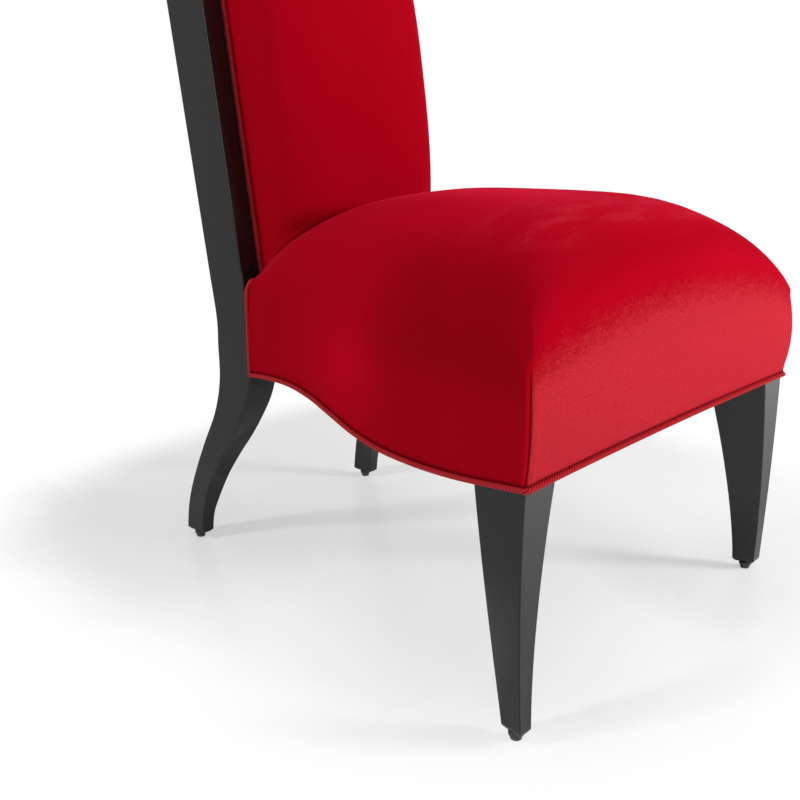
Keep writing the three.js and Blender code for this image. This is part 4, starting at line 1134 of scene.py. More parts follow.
@dataclass
class CrestRail:
    """The crest rail over the posts, with a low arch on top and rounded edges."""

    depth: float = 72.0
    gap: float = 0.3
    columns: int = 90
    section: Section = field(default_factory=lambda: Section(radius=2.2))

    def shape(self) -> Shape:
        """The rail as a loft across: its height follows the arch, and its ends draw in round."""
        outer, ease = LINES.post_outer, 0.8 * self.section.radius
        turn = np.radians(np.linspace(0.0, 90.0, 6))
        end = outer - ease * (1.0 - np.cos(turn))
        inset = ease * (1.0 - np.sin(turn))
        place = np.linspace(-end[-1], end[-1], self.columns)
        x = np.concatenate([-end, place[1:-1], end[::-1]])
        inset = np.concatenate([inset, np.zeros(self.columns - 2), inset[::-1]])
        low = LINES.crest_low + self.gap
        high = LINES.crest_high + LINES.crest_arch * (1.0 - (x / outer) ** 2)
        points, edge = self.section.rows(high - low, np.full(len(x), self.depth), inset)
        rings = LINES.raked(x[:, None], low + points[..., 0], -points[..., 1])
        edge = np.maximum(edge, np.repeat(inset > 0.05, points.shape[1]))
        return tube(rings, {"edge": edge})


@dataclass
class LacqueredFrame:
    """The black parts that show: two posts, two front legs and the crest rail."""

    paints: Paintbox
    panel_half: float = 151.2
    panel_low: float = 34.0
    panel_high: float = 571.1
    panel_depth: float = 9.6

    def rebate(self) -> Shape:
        """The recess for the inner back panel, cut into the posts and the crest rail."""
        corners = block(
            np.array([-self.panel_half - 0.3, self.panel_low - 0.3, -self.panel_depth]),
            np.array([self.panel_half + 0.3, self.panel_high + 0.3, 4.0]),
        )
        return Shape(LINES.raked(corners[:, 0], corners[:, 1], corners[:, 2]), [BLOCK_FACES])

    def build(self) -> None:
        """Makes the five pieces."""
        post, leg, rebate = BackPost().shape(), FrontLeg().shape(), self.rebate()
        for side, shape in (("right", post), ("left", post.mirrored())):
            piece = carved(shape.build(f"{side}_post"), [rebate])
            self.paints.dress(piece, Finish.LACQUER, f"{side}_back_post")
        for side, shape in (("right", leg), ("left", leg.mirrored())):
            self.paints.dress(shape.build(f"{side}_leg"), Finish.LACQUER, f"{side}_front_leg")
        crest = carved(CrestRail().shape().build("crest"), [rebate])
        self.paints.dress(crest, Finish.LACQUER, "crest_rail")


@dataclass
class Glides:
    """Four turned glides under the feet, each with a flange and a nail."""

    paints: Paintbox
    radius: float = 6.0
    flange: float = 8.0
    step: float = 5.0
    top: float = 9.7
    shank: float = 1.6
    shank_top: float = 26.0

    def profile(self) -> Array:
        """Radius and height from the floor up, with small rounds at the foot and at the flange."""
        turn = np.radians(np.linspace(0.0, 90.0, 6))
        foot = np.stack([self.radius - 1.3 + 1.3 * np.sin(turn), 1.3 - 1.3 * np.cos(turn)], axis=1)
        brim = np.stack(
            [self.flange - 0.8 + 0.8 * np.cos(turn[::-1] - np.pi / 2 + np.pi / 2) * 1.0,
             self.step + 0.8 - 0.8 * np.sin(turn[::-1])], axis=1
        )
        upper = np.stack([self.flange - 0.6 + 0.6 * np.cos(turn), self.top - 0.6 + 0.6 * np.sin(turn)], axis=1)
        return np.vstack(
            [[0.0, 0.0], foot, [self.radius, self.step - 0.4], [self.radius + 0.3, self.step],
             brim, upper, [self.shank, self.top], [self.shank, self.shank_top - 1.5],
             [0.4, self.shank_top], [0.0, self.shank_top]]
        )

    def build(self) -> None:
        """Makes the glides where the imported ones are."""
        for name in ("right_front", "left_front", "right_rear", "left_rear"):
            low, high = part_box(f"{name}_glide")
            x, y = (low.x + high.x) / 2 / MM, (low.y + high.y) / 2 / MM - SHIFT_Y
            piece = turned_piece(self.profile(), x, y).build(f"{name}_foot_glide")
            self.paints.dress(piece, Finish.GLIDE, f"{name}_glide")


# ---------------------------------------------------------------- piping


@dataclass
class RibbedCord:
    """A piping cord whose cloth has ribs that wind round it.

    The radius at a place g along the cord and an angle a round it is r + h (lobe - 0.6), where the
    lobe is |sin(pi g / pitch - starts a / 2)|, so the ribs wind like a thread of several starts.
    """

    radius: float = 2.58
    sides: int = 30
    starts: int = 4
    pitch: float = 4.0
    rib_height: float = 0.54
    step: float = 0.62
    # shade scales the rib value down, painting the whole cord darker as painted shade.
    shade: float = 1.0

    def shape(self, path: Array, reference: Array, start: Array | None = None, end: Array | None = None) -> Shape:
        """The cord along a path.

        Args:
            path: Points along its middle.
            reference: A direction that the path never takes, to turn its sections from.
            start: The normal of the plane on which its start is mitred.
            end: The same for its end.

        Returns:
            The closed shape, with the rib's height as a value.
        """
        line = evenly(path, self.step)
        run = unit(np.gradient(line, axis=0))
        side = unit(np.cross(run, reference))
        rise = np.cross(side, run)
        pieces = np.linalg.norm(np.diff(line, axis=0), axis=1)
        gone = np.concatenate([[0.0], np.cumsum(pieces)])
        angle = np.linspace(0.0, 2.0 * np.pi, self.sides, endpoint=False)
        lobe = np.abs(np.sin(np.pi * gone[:, None] / self.pitch - self.starts * angle[None, :] / 2.0))
        radius = self.radius + self.rib_height * (lobe - 0.6)
        spoke = side[:, None] * np.cos(angle)[None, :, None] + rise[:, None] * np.sin(angle)[None, :, None]
        spoke = spoke * radius[..., None]
        rings = line[:, None] + spoke
        for mitre, away in ((start, gone), (end, gone[-1] - gone)):
            if mitre is not None:
                share = np.clip(1.0 - away / (3.0 * self.radius), 0.0, 1.0)
                slide = -(spoke @ mitre) / (run @ mitre)[:, None] * share[:, None]
                rings = rings + run[:, None] * slide[..., None]
        return tube(rings, {"rib": self.shade * lobe.ravel()})


def softened(path: Array, reach: float, step: float = 0.5) -> Array:
    """A path whose corners are rounded: each point is the mean of those within a reach.

    Args:
        path: Points along the path.
        reach: How far each way the mean goes.
        step: The length between the points that are averaged.

    Returns:
        The softened path, with its ends kept.
    """
    line = evenly(path, step)
    half = max(int(reach / step), 1)
    window = np.hanning(2 * half + 3)[1:-1]
    padded = np.vstack([np.repeat(line[:1], half, 0), line, np.repeat(line[-1:], half, 0)])
    mean = np.stack([np.convolve(padded[:, k], window / window.sum(), "valid") for k in range(3)], axis=1)
    mean[0], mean[-1] = line[0], line[-1]
    return mean


@dataclass
class SeatPiping:
    """The seat's piping: along its low edge, and up its rear edges and over their shoulders."""

    paints: Paintbox
    rear: float = -3.0
    shoulder_deg: float = 31.0
    dive: float = 5.0

    def edge_at(self, y: Array) -> Array:
        """Points of the right side's low piping at places along the chair."""
        out = LINES.piping_out * LINES.side_factor
        return np.stack([-LINES.rail_x(y) - out, y, LINES.side_apron(y) + LINES.piping_radius], axis=1)

    def low_path(self) -> Array:
        """The path along the right side, the front and the left side, with rounded front corners."""
        front = -LINES.seat_depth - LINES.piping_out
        right = self.edge_at(np.linspace(self.rear - 0.15, front, 900))
        x = np.linspace(right[-1, 0], -right[-1, 0], 900)[1:-1]
        across = np.stack([x, np.full_like(x, front), LINES.front_apron(x) + LINES.piping_radius], axis=1)
        left = right[::-1] * [-1.0, 1.0, 1.0]
        return softened(np.vstack([right, across, left]), 7.0)

    def shoulder_path(self) -> Array:
        """The path up the rear edge and over the shoulder, where it dives under the seat's cover."""
        foot = self.edge_at(np.array([self.rear]))[0]
        plumb = np.array([[foot[0], self.rear, foot[2] + 0.15], [foot[0], self.rear, LINES.edge_height]])
        angle = np.radians(np.linspace(0.0, self.shoulder_deg, 60))[1:]
        outer = LINES.seat_half(np.array(REAR_WALL))
        top = LINES.seat_top(outer * np.cos(angle), np.full_like(angle, REAR_WALL))
        dive = self.dive * eased((np.degrees(angle) - 17.0) / 9.0)
        over = np.stack([foot[0] * np.cos(angle), np.full_like(angle, self.rear), top - dive], axis=1)
        return softened(np.vstack([plumb, over]), 3.0)

    def build(self) -> None:
        """Makes one low piping and two shoulder pipings."""
        cord = RibbedCord()
        upright, sideways = np.array([0.0, 0.0, 1.0]), np.array([LINES.slope, 1.0, 0.0])
        mitre = unit(upright + unit(sideways))
        far = mitre * [-1.0, 1.0, 1.0]
        low = cord.shape(self.low_path(), upright, mitre, far)
        self.paints.dress(
            low.build("seat_edge_piping"), Finish.PIPING,
            "front_seat_piping", "right_seat_piping", "left_seat_piping",
        )
        shoulder = cord.shape(self.shoulder_path(), np.array([0.0, 1.0, 0.0]), mitre)
        for side, shape in (("right", shoulder), ("left", shoulder.mirrored())):
            piece = shape.build(f"{side}_shoulder_cord")
            self.paints.dress(piece, Finish.PIPING, f"{side}_shoulder_piping")


# ---------------------------------------------------------------- the seat


@dataclass
class SeatUpholstery:
    """The seat's foam and velvet as one crowned body that wraps down over the rails.

    Its top is a grid of places across and along; below the edge a skirt goes down to the piping,
    turns in behind it, and the body closes inside along the rails and over the webbing.
    """

    paints: Paintbox
    step: float = 4.2
    skirt_rows: int = 30
    front_swell: float = 5.0
    side_swell: float = 2.5
    corner_radius: float = 8.0
    tuck: float = 2.7
    hem_rise: float = 5.7
    deck: float = 350.4
    rear_low: float = 357.0

    def places(self) -> tuple[Array, Array]:
        """Shares across, and places along, that cut the crown's middle lines into even lengths."""
        width = float(LINES.seat_half(np.array(LINES.crown_place)))
        half = even_arc(LINES.across_power, LINES.crown, width, self.step)
        across = np.concatenate([-half[:0:-1], half])
        ahead = LINES.crown_place - LINES.seat_front
        forwards = even_arc(LINES.along_power, LINES.crown, ahead, self.step)
        end = (REAR_WALL - LINES.crown_place) / LINES.crown_rear
        rearwards = even_arc(LINES.along_power, LINES.crown, LINES.crown_rear, self.step, end)
        along = LINES.crown_place + np.concatenate([-ahead * forwards[:0:-1], LINES.crown_rear * rearwards])
        return across, along

    def corner_rounded(self, points: Array, side_out: Array, front_out: Array) -> Array:
        """Rounds the front corners: points nearer than r to both sides go onto an arc of radius r.

        Args:
            points: The points.
            side_out: How far the side stands out of its own line at each point.
            front_out: The same for the front.

        Returns:
            The rounded points.
        """
        r = self.corner_radius
        plane = LINES.seat_front - front_out
        from_side = (LINES.seat_half(points[:, 1]) + side_out - np.abs(points[:, 0])) / LINES.side_factor
        from_front = points[:, 1] - plane
        reach = np.stack([r - from_side, r - from_front], axis=1)
        length = np.linalg.norm(reach, axis=1)
        near = (reach[:, 0] > 0) & (reach[:, 1] > 0) & (length > r)
        kept = r - reach * np.where(near, r / np.maximum(length, 1e-9), 1.0)[:, None]
        y = plane + kept[:, 1]
        x = np.sign(points[:, 0]) * (LINES.seat_half(y) + side_out - kept[:, 0] * LINES.side_factor)
        return np.where(near[:, None], np.stack([x, y, points[:, 2]], axis=1), points)

    def body(self) -> tuple[Shape, dict[str, Array]]:
        """The closed body before it settles.

        Returns:
            The shape, and for each point its place in the skirt, as row and distance measures.
        """
        share, along = self.places()
        rows, columns = len(along), len(share)
        y = np.repeat(along, columns)
        x = np.tile(share, rows) * LINES.seat_half(y)
        top = np.stack([x, y, LINES.seat_top(x, y)], axis=1)
        index = np.arange(rows * columns).reshape(rows, columns)
        loop = np.concatenate([index[::-1, 0], index[0, 1:], index[1:, -1], index[-1, -2:0:-1]])
        start = top[loop].copy()
        count = len(loop)
        on_side = np.zeros(count, bool)
        on_side[:rows] = True
        on_side[rows + columns - 2 : 2 * rows + columns - 2] = True
        on_front = np.zeros(count, bool)
        on_front[rows - 1 : rows + columns - 1] = True
        on_rear = ~(on_side | on_front)
        rail = LINES.rail_x(start[:, 1]) + 0.3 * LINES.side_factor
        inner_rear = on_rear & (np.abs(start[:, 0]) < rail)
        front_line = LINES.front_apron(start[:, 0])
        hem = np.where(on_front, front_line, LINES.side_apron(start[:, 1])) + self.hem_rise
        hem = np.where(inner_rear, self.rear_low, hem)
        k = np.linspace(0.0, 1.0, self.skirt_rows + 1)[1:, None]
        swell = np.sin(np.pi * k)
        side_out = self.side_swell * swell * np.ones(count)
        front_out = self.front_swell * swell * np.ones(count)
        ahead = eased((LINES.seat_front + 90.0 - start[:, 1]) / 90.0)
        skirt_y = np.where(on_rear, start[:, 1], start[:, 1] - front_out * ahead)
        width = LINES.seat_half(skirt_y) + np.where(on_rear, 0.0, side_out)
        skirt_x = np.clip(start[:, 0] / LINES.seat_half(start[:, 1]), -1.0, 1.0) * width
        skirt_z = start[:, 2] + (hem - start[:, 2]) * k
        skirt = np.stack([skirt_x, skirt_y, skirt_z], axis=2).reshape(-1, 3)
        skirt = self.corner_rounded(skirt, side_out.ravel(), front_out.ravel())
        top = self.corner_rounded(top, np.zeros(len(top)), np.zeros(len(top)))
        in_side, in_front, in_rear = 3.9 * LINES.side_factor, LINES.seat_front + 3.9, REAR_WALL - 3.9
        inner_y = np.interp(start[:, 1], [LINES.seat_front, REAR_WALL], [in_front, in_rear])
        inner_x = start[:, 0] / LINES.seat_half(start[:, 1]) * (LINES.seat_half(inner_y) - in_side)
        lip_y = 0.35 * start[:, 1] + 0.65 * inner_y
        lip_x = 0.35 * start[:, 0] + 0.65 * inner_x
        lip = np.stack([lip_x, lip_y, hem - 1.4], axis=1)
        wall = np.stack([inner_x, inner_y, hem - 2.2], axis=1)
        ceiling = np.stack([inner_x, inner_y, np.full(count, self.deck)], axis=1)
        pole = np.array([[0.0, -250.0, self.deck]])
        points = np.concatenate([top, skirt, lip, wall, ceiling, pole])
        first = rows * columns
        rings = np.concatenate([loop[None], first + np.arange((self.skirt_rows + 3) * count).reshape(-1, count)])
        following = np.roll(rings, -1, axis=1)
        strips = np.stack([rings[:-1], rings[1:], following[1:], following[:-1]], axis=2).reshape(-1, 4)
        faces = [grid_quads(rows, columns, False), strips, fan(rings[-1], len(points) - 1)]
        swells = np.zeros((2, len(points)))
        swells[:, first : first + skirt.shape[0]] = side_out.ravel(), front_out.ravel()
        return Shape(points, faces), self.measures(points, first, count, hem, swells)

    def measures(self, points: Array, first: int, count: int, hem: Array, swells: Array) -> dict[str, Array]:
        """For each point: distance to the hem, to the rear edge and to a corner's seam, and if it shows.

        Args:
            points: The points.
            first: How many points the crown has.
            count: How many points go round the skirt.
            hem: Height of the hem at each place round the skirt.
            swells: How far the sides and the front stand out at each point.

        Returns:
            The measures.
        """
        total = len(points)
        shown = np.zeros(total, bool)
        shown[: first + self.skirt_rows * count] = True
        to_hem = np.full(total, 1e3)
        for row in range(self.skirt_rows):
            place = slice(first + row * count, first + (row + 1) * count)
            to_hem[place] = points[place, 2] - hem
        to_rear = np.where(shown, REAR_WALL - points[:, 1], 1e3)
        into = self.corner_radius * (1.0 - math.sqrt(0.5))
        plane = LINES.seat_front - swells[1]
        seam_x = LINES.seat_half(plane) + swells[0] - into
        to_seam = np.hypot(np.abs(points[:, 0]) - seam_x, points[:, 1] - plane - into)
        from_side = (LINES.seat_half(points[:, 1]) + swells[0] - np.abs(points[:, 0])) / LINES.side_factor
        on_front = from_side - (points[:, 1] - plane)
        return {"shown": shown, "hem": to_hem, "rear": to_rear, "seam": to_seam, "front": on_front}

    def painted_light_and_marks(self, points: Array, measure: dict[str, Array]) -> dict[str, Array]:
        """Values that paint light, shade and sheen streaks onto the velvet.

        The key lamp's light is painted on the front below a low arch ("lit"), stroke marks in the pile on
        the crown's front are painted paler as sheen streaks ("stroked"), a painted highlight runs beside
        the corner seams and just above the arch ("turned"), painted shade lies in the seams ("seam"), and
        "open" paints the side's bulge and the crown's top lighter and the sides darker towards the front.
        """
        x, y, z = points.T
        # Painted light of the key lamp on the seat's front, below a low arch.
        arch = LINES.edge_height - 8.0 + 46.0 * rounded(np.clip(x / 281.0, -1, 1), 2.0) ** 1.3
        front = eased((LINES.seat_front + 22.0 - y) / 16.0)
        side = eased((measure["front"] - 0.3) / 1.2)
        lit = np.clip(0.5 + (arch - z) / 58.0, 0.0, 1.0) * front * side
        # Stroke marks in the pile on the crown's front, painted as sheen streaks.
        stroked = bell(y + 415.0, 70.0) * eased((z - 452.0) / 26.0)
        # turned: a painted highlight beside the corner seams below the crown, and a weaker one just above the arch.
        gap, below = measure["seam"], eased((400.0 - z) / 40.0)
        turned = bell(gap - 3.6, 3.2) * (1.0 - side) * below
        above = bell(z - arch - 22.0, 20.0) * eased((LINES.seat_front + 60.0 - y) / 40.0)
        turned = np.maximum(turned, 0.4 * above * side)
        seam = np.maximum(bell(np.maximum(measure["hem"], 0.0), 1.7), bell(measure["rear"], 1.6))
        seam = np.maximum(seam, 0.8 * bell(gap, 0.8) * eased((372.0 - z) / 20.0))
        # Painted light and shade for "open": lighter round the side's bulge and on the crown's top, darker towards
        # the front of the sides.
        bulge = 0.34 * bell(np.hypot(y + 215.0, z - 322.0), 55.0)
        away = 0.24 * eased((-y - 210.0) / 130.0) * (0.45 + 0.55 * eased((z - 320.0) / 45.0))
        soft = 1.2 + 44.0 * eased((z - 335.0) / 70.0)
        aside = 1.0 - eased(0.5 + measure["front"] / (2.0 * soft))
        painted_light_level = (bulge - away) * aside * eased((468.0 - z) / 40.0)
        painted_light_level = painted_light_level + (0.12 + 0.18 * bell(y + 300.0, 90.0)) * eased((z - 452.0) / 30.0)
        return {"lit": lit, "stroked": stroked, "turned": turned, "seam": seam, "open": painted_light_level}

    def held(self, points: Array) -> Array:
        """1 where the cover is tacked: inside the frame, along the hem and at the rear edge."""
        inside = (np.abs(points[:, 0]) < LINES.rail_x(points[:, 1]) + 1.2) & (points[:, 2] < 353.0)
        inside &= points[:, 1] > -LINES.seat_depth - 1.2
        hem = points[:, 2] < LINES.side_apron(points[:, 1]) + self.hem_rise + 3.0
        rear = points[:, 1] > REAR_WALL - 5.0
        return (inside | hem | rear).astype(float)

    def sewn(self, shape: Shape, measure: dict[str, Array]) -> Shape:
        """Draws the cover in along its seams, and puckers it where the corner seams end.

        The inward depth is a bell over the distance to the hem and to the rear edge, a narrow bell
        over the distance to each corner's seam that fades out at the crown, and ripples beside it.
        """
        normals = point_normals(shape.points, shape.polygons)
        if enclosed(shape.points, shape.polygons) < 0:
            normals = -normals
        x, y, z = shape.points.T
        low = eased((378.0 - z) / 26.0)
        front = np.abs(np.abs(x) - LINES.seat_half(y)) > (y - LINES.seat_front)
        gap = measure["seam"]
        depth = self.tuck * bell(np.maximum(measure["hem"], 0.0), 2.2)
        depth = np.maximum(depth, self.tuck * bell(np.maximum(measure["rear"], 0.0), 2.6))
        depth = depth + 0.75 * bell(gap, 0.95) * low
        depth = depth - 0.35 * bell(gap - 3.6, 1.6) * low
        depth = depth - np.where(front, 0.55, 0.25) * bell(gap - 9.5, 2.8) * low
        height = measure["hem"]
        ripple = np.sin(0.62 * gap + 1.3 * np.sin(0.23 * z) + 0.4 * z * 0.15)
        fade = bell(gap, 15.0) * bell(np.maximum(height, 0.0), 26.0) * (1 - bell(gap, 1.5))
        depth = depth + 0.42 * ripple * fade
        slow = np.sin(0.031 * x + 1.1) * np.sin(0.043 * y + 0.4) + 0.6 * np.sin(0.017 * z + 0.05 * x)
        depth = depth + 0.35 * slow * (measure["hem"] > 25.0) * (1 - bell(gap, 30.0))
        depth = np.where(measure["shown"], depth, 0.0)
        points = shape.points - normals * depth[:, None]
        return Shape(points, shape.polygons, self.painted_light_and_marks(points, measure))

    def build(self) -> None:
        """Makes the seat."""
        shape, measure = self.body()
        settled = Shape(ClothSettling().moved(shape, self.held), shape.polygons)
        piece = self.sewn(settled, measure).build("seat_upholstery", 75.0)
        self.paints.dress(piece, Finish.VELVET, "seat_cover", "seat_foam")


# ---------------------------------------------------------------- the back


@dataclass
class BackPad:
    """The crowned back pad: rings from its middle out to a rounded outline, resting on the seat."""

    paints: Paintbox
    half: float = 145.5
    high: float = 565.4
    radius: float = 16.0
    middle: float = 302.6
    reach: float = 262.9
    crown: float = 89.0
    across_power: float = 4.0
    along_power: float = 2.0
    low_power: float = 2.5
    step: float = 4.2
    sunk: float = 3.6
    tucked: float = 11.0
    sewn_edge: float = 1.8

    def seat_line(self, x: Array) -> Array:
        """How far up the rake the pad begins: a little below the seat's rear edge."""
        top = LINES.seat_top(np.clip(x, -175.0, 175.0), np.full_like(x, REAR_WALL))
        return (top - self.tucked - LINES.rake_start) / math.cos(LINES.rake)

    def outline(self) -> Array:
        """Places (across, up) round the pad, from its low right corner and up its right side."""
        low = float(self.seat_line(np.array([-self.half]))[0])
        side_count = int((self.high - self.radius - low) / self.step)
        side = np.linspace(low, self.high - self.radius, side_count + 1)
        turn = np.radians(np.linspace(180.0, 90.0, 8))[1:-1]
        corner = self.radius * np.stack([np.cos(turn), np.sin(turn)], axis=1)
        corner = corner + [self.radius - self.half, self.high - self.radius]
        flat = self.half - self.radius
        across = np.linspace(-flat, flat, int(2 * flat / self.step) + 1)
        up = np.stack([np.full_like(side, -self.half), side], axis=1)
        head = np.stack([across, np.full_like(across, self.high)], axis=1)
        right = np.vstack([up, corner])
        left = right[::-1] * [-1.0, 1.0]
        below = np.linspace(self.half, -self.half, int(2 * self.half / self.step) + 1)[1:-1]
        foot = np.stack([below, self.seat_line(below)], axis=1)
        return np.vstack([right, head, left, foot])

    def height(self, spot: Array) -> Array:
        """The crown over the panel: a squarer rise across times a rounder one up the back."""
        rise = rounded(spot[..., 0] / self.half, self.across_power)
        power = np.where(spot[..., 1] < self.middle, self.low_power, self.along_power)
        rise = rise * rounded((spot[..., 1] - self.middle) / self.reach, power)
        return 0.3 + self.crown * rise

    def on_seat(self, points: Array) -> Array:
        """Points that would sink into the seat, lifted onto it; behind its rear edge they stay."""
        behind = eased((points[..., 1] - REAR_WALL - 0.6) / 2.4)
        y = np.minimum(points[..., 1], REAR_WALL)
        floor = LINES.seat_top(np.clip(points[..., 0], -175.0, 175.0), y)
        floor = floor - self.sunk * (0.4 + 0.6 * eased((y + 95.0) / 75.0))
        floor = floor - 40.0 * behind - self.sewn_edge * bell(y - REAR_WALL, 3.0)
        lifted = points.copy()
        lifted[..., 2] = np.maximum(points[..., 2], floor)
        return lifted

    def body(self) -> Shape:
        """The closed pad: a pole, rings out to the outline, a ring on the panel and a rear pole."""
        share = even_arc(self.across_power, self.crown, self.half, self.step)[1:]
        outline = self.outline()
        centre = np.array([0.0, self.middle])
        spot = centre + (outline - centre) * share[:, None, None]
        front = self.on_seat(LINES.raked(spot[..., 0], spot[..., 1], self.height(spot)))
        behind = centre + (outline - centre) * 0.985
        rear = self.on_seat(LINES.raked(behind[:, 0], behind[:, 1], np.full(len(behind), 0.3)))
        poles = LINES.raked(np.zeros(2), np.full(2, self.middle), np.array([0.3 + self.crown, 0.3]))
        rings = np.concatenate([front, rear[None]])
        rows, count = rings.shape[:2]
        points = np.concatenate([rings.reshape(-1, 3), poles])
        first, last = np.arange(count), (rows - 1) * count + np.arange(count)
        faces = [grid_quads(rows, count, True), fan(first[::-1], len(points) - 2), fan(last, len(points) - 1)]
        return Shape(points, faces)

    def held(self, points: Array) -> Array:
        """1 near the panel and on the seat, where the pad is tacked or rests."""
        sine, cosine = math.sin(LINES.rake), math.cos(LINES.rake)
        out = (points[:, 2] - LINES.rake_start) * sine - points[:, 1] * cosine
        floor = LINES.seat_top(np.clip(points[:, 0], -175.0, 175.0), np.minimum(points[:, 1], REAR_WALL))
        return ((out < 6.0) | (points[:, 2] < floor + 4.0)).astype(float)

    def build(self) -> None:
        """Makes the pad."""
        shape = self.body()
        points = ClothSettling(slack=1.8, cap=2.8).moved(shape, self.held)
        points = self.on_seat(points)
        piece = Shape(points, shape.polygons).build("back_pad", 75.0)
        self.paints.dress(piece, Finish.VELVET, "back_cover", "back_foam")


@dataclass
class BackPiping:
    """The piping round the back pad: up one side, over the top and down the other."""

    paints: Paintbox
    half: float = 148.5
    high: float = 568.4
    radius: float = 16.0
    out: float = 2.95

    def build(self) -> None:
        """Makes the piping, from the seat's shoulder on one side to the other's."""
        low = float(BackPad(self.paints).seat_line(np.array([self.half]))[0])
        turn = np.radians(np.linspace(180.0, 90.0, 24))
        corner = self.radius * np.stack([np.cos(turn), np.sin(turn)], axis=1)
        corner = corner + [self.radius - self.half, self.high - self.radius]
        right = np.vstack([[[-self.half, low]], corner])
        plan = np.vstack([right, right[::-1] * [-1.0, 1.0]])
        path = LINES.raked(plan[:, 0], plan[:, 1], np.full(len(plan), self.out))
        outwards = LINES.raked(np.array(0.0), np.array(0.0), np.array(1.0))
        outwards = outwards - LINES.raked(np.array(0.0), np.array(0.0), np.array(0.0))
        # This cord is painted darker: painted shade between the pad and the posts.
        cord = RibbedCord(shade=0.8).shape(path, outwards)
        self.paints.dress(cord.build("back_edge_piping"), Finish.PIPING, "back_piping")


@dataclass
class OutsideBack:
    """The outside back: a velvet panel between the posts, rolled in at its edges, and two cords."""

    paints: Paintbox
    half: float = 133.1
    thickness: float = 2.0
    inset: float = 5.0
    swell: float = 1.6
    cord_radius: float = 2.0
    rows: int = 150
    columns: int = 70

    def limits(self) -> tuple[float, float]:
        """The panel's low and high edges."""
        low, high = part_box("outside_back_cover")
        return low.z / MM, high.z / MM

    def rear(self, z: Array) -> Array:
        """The posts' rear edge at a height."""
        line = BackPost().rear_line()
        order = np.argsort(line[:, 0])
        return np.interp(z, line[order, 0], line[order, 1])

    def panel(self) -> Shape:
        """The panel: a grid whose face swells a little and rolls in at all four edges."""
        low, high = self.limits()
        u = np.sin(np.linspace(-np.pi / 2, np.pi / 2, self.columns))
        v = (1 - np.cos(np.linspace(0.0, np.pi, self.rows))) / 2
        x = np.tile(u * self.half, (self.rows, 1))
        z = np.tile((low + (high - low) * v)[:, None], (1, self.columns))
        edge = np.minimum(self.half - np.abs(x), np.minimum(z - low, high - z))
        face = self.rear(z) - self.inset - 1.6 * bell(edge, 2.2) + self.swell * eased(edge / 60.0)
        face = face + 0.25 * np.sin(0.05 * z + 0.02 * x) * eased(edge / 30.0)
        back = self.rear(z) - self.inset - self.thickness
        outer = np.stack([x, face, z], axis=2)
        inner = np.stack([x, np.minimum(back, face - 0.3), z], axis=2)
        index = np.arange(self.rows * self.columns).reshape(self.rows, self.columns)
        loop = np.concatenate([index[:, 0], index[-1, 1:], index[-2::-1, -1], index[0, -2:0:-1]])
        count = self.rows * self.columns
        side = np.stack([loop, np.roll(loop, -1), np.roll(loop, -1) + count, loop + count], axis=1)
        quads = grid_quads(self.rows, self.columns, False)
        points = np.concatenate([outer.reshape(-1, 3), inner.reshape(-1, 3)])
        return Shape(points, [quads, quads[:, ::-1] + count, side])

    def cord(self) -> Shape:
        """The cord along the right edge, which lies in the corner between panel and post."""
        low, high = self.limits()
        z = np.linspace(low + 1.0, high - 1.0, 400)
        x = np.full_like(z, -self.half + self.cord_radius + 0.15)
        path = np.stack([x, self.rear(z) - self.inset + self.cord_radius * 0.7, z], axis=1)
        return RibbedCord(radius=self.cord_radius, sides=24, starts=4, rib_height=0.3, step=0.6).shape(
            path, np.array([1.0, 0.0, 0.0])
        )

    def build(self) -> None:
        """Makes the panel and its cords."""
        piece = self.panel().build("outside_back", 75.0)
        self.paints.dress(piece, Finish.VELVET, "outside_back_cover")
        right = self.cord()
        for side, shape in (("right", right), ("left", right.mirrored())):
            self.paints.dress(shape.build(f"{side}_outside_cord"), Finish.PIPING)


# ---------------------------------------------------------------- underneath and inside


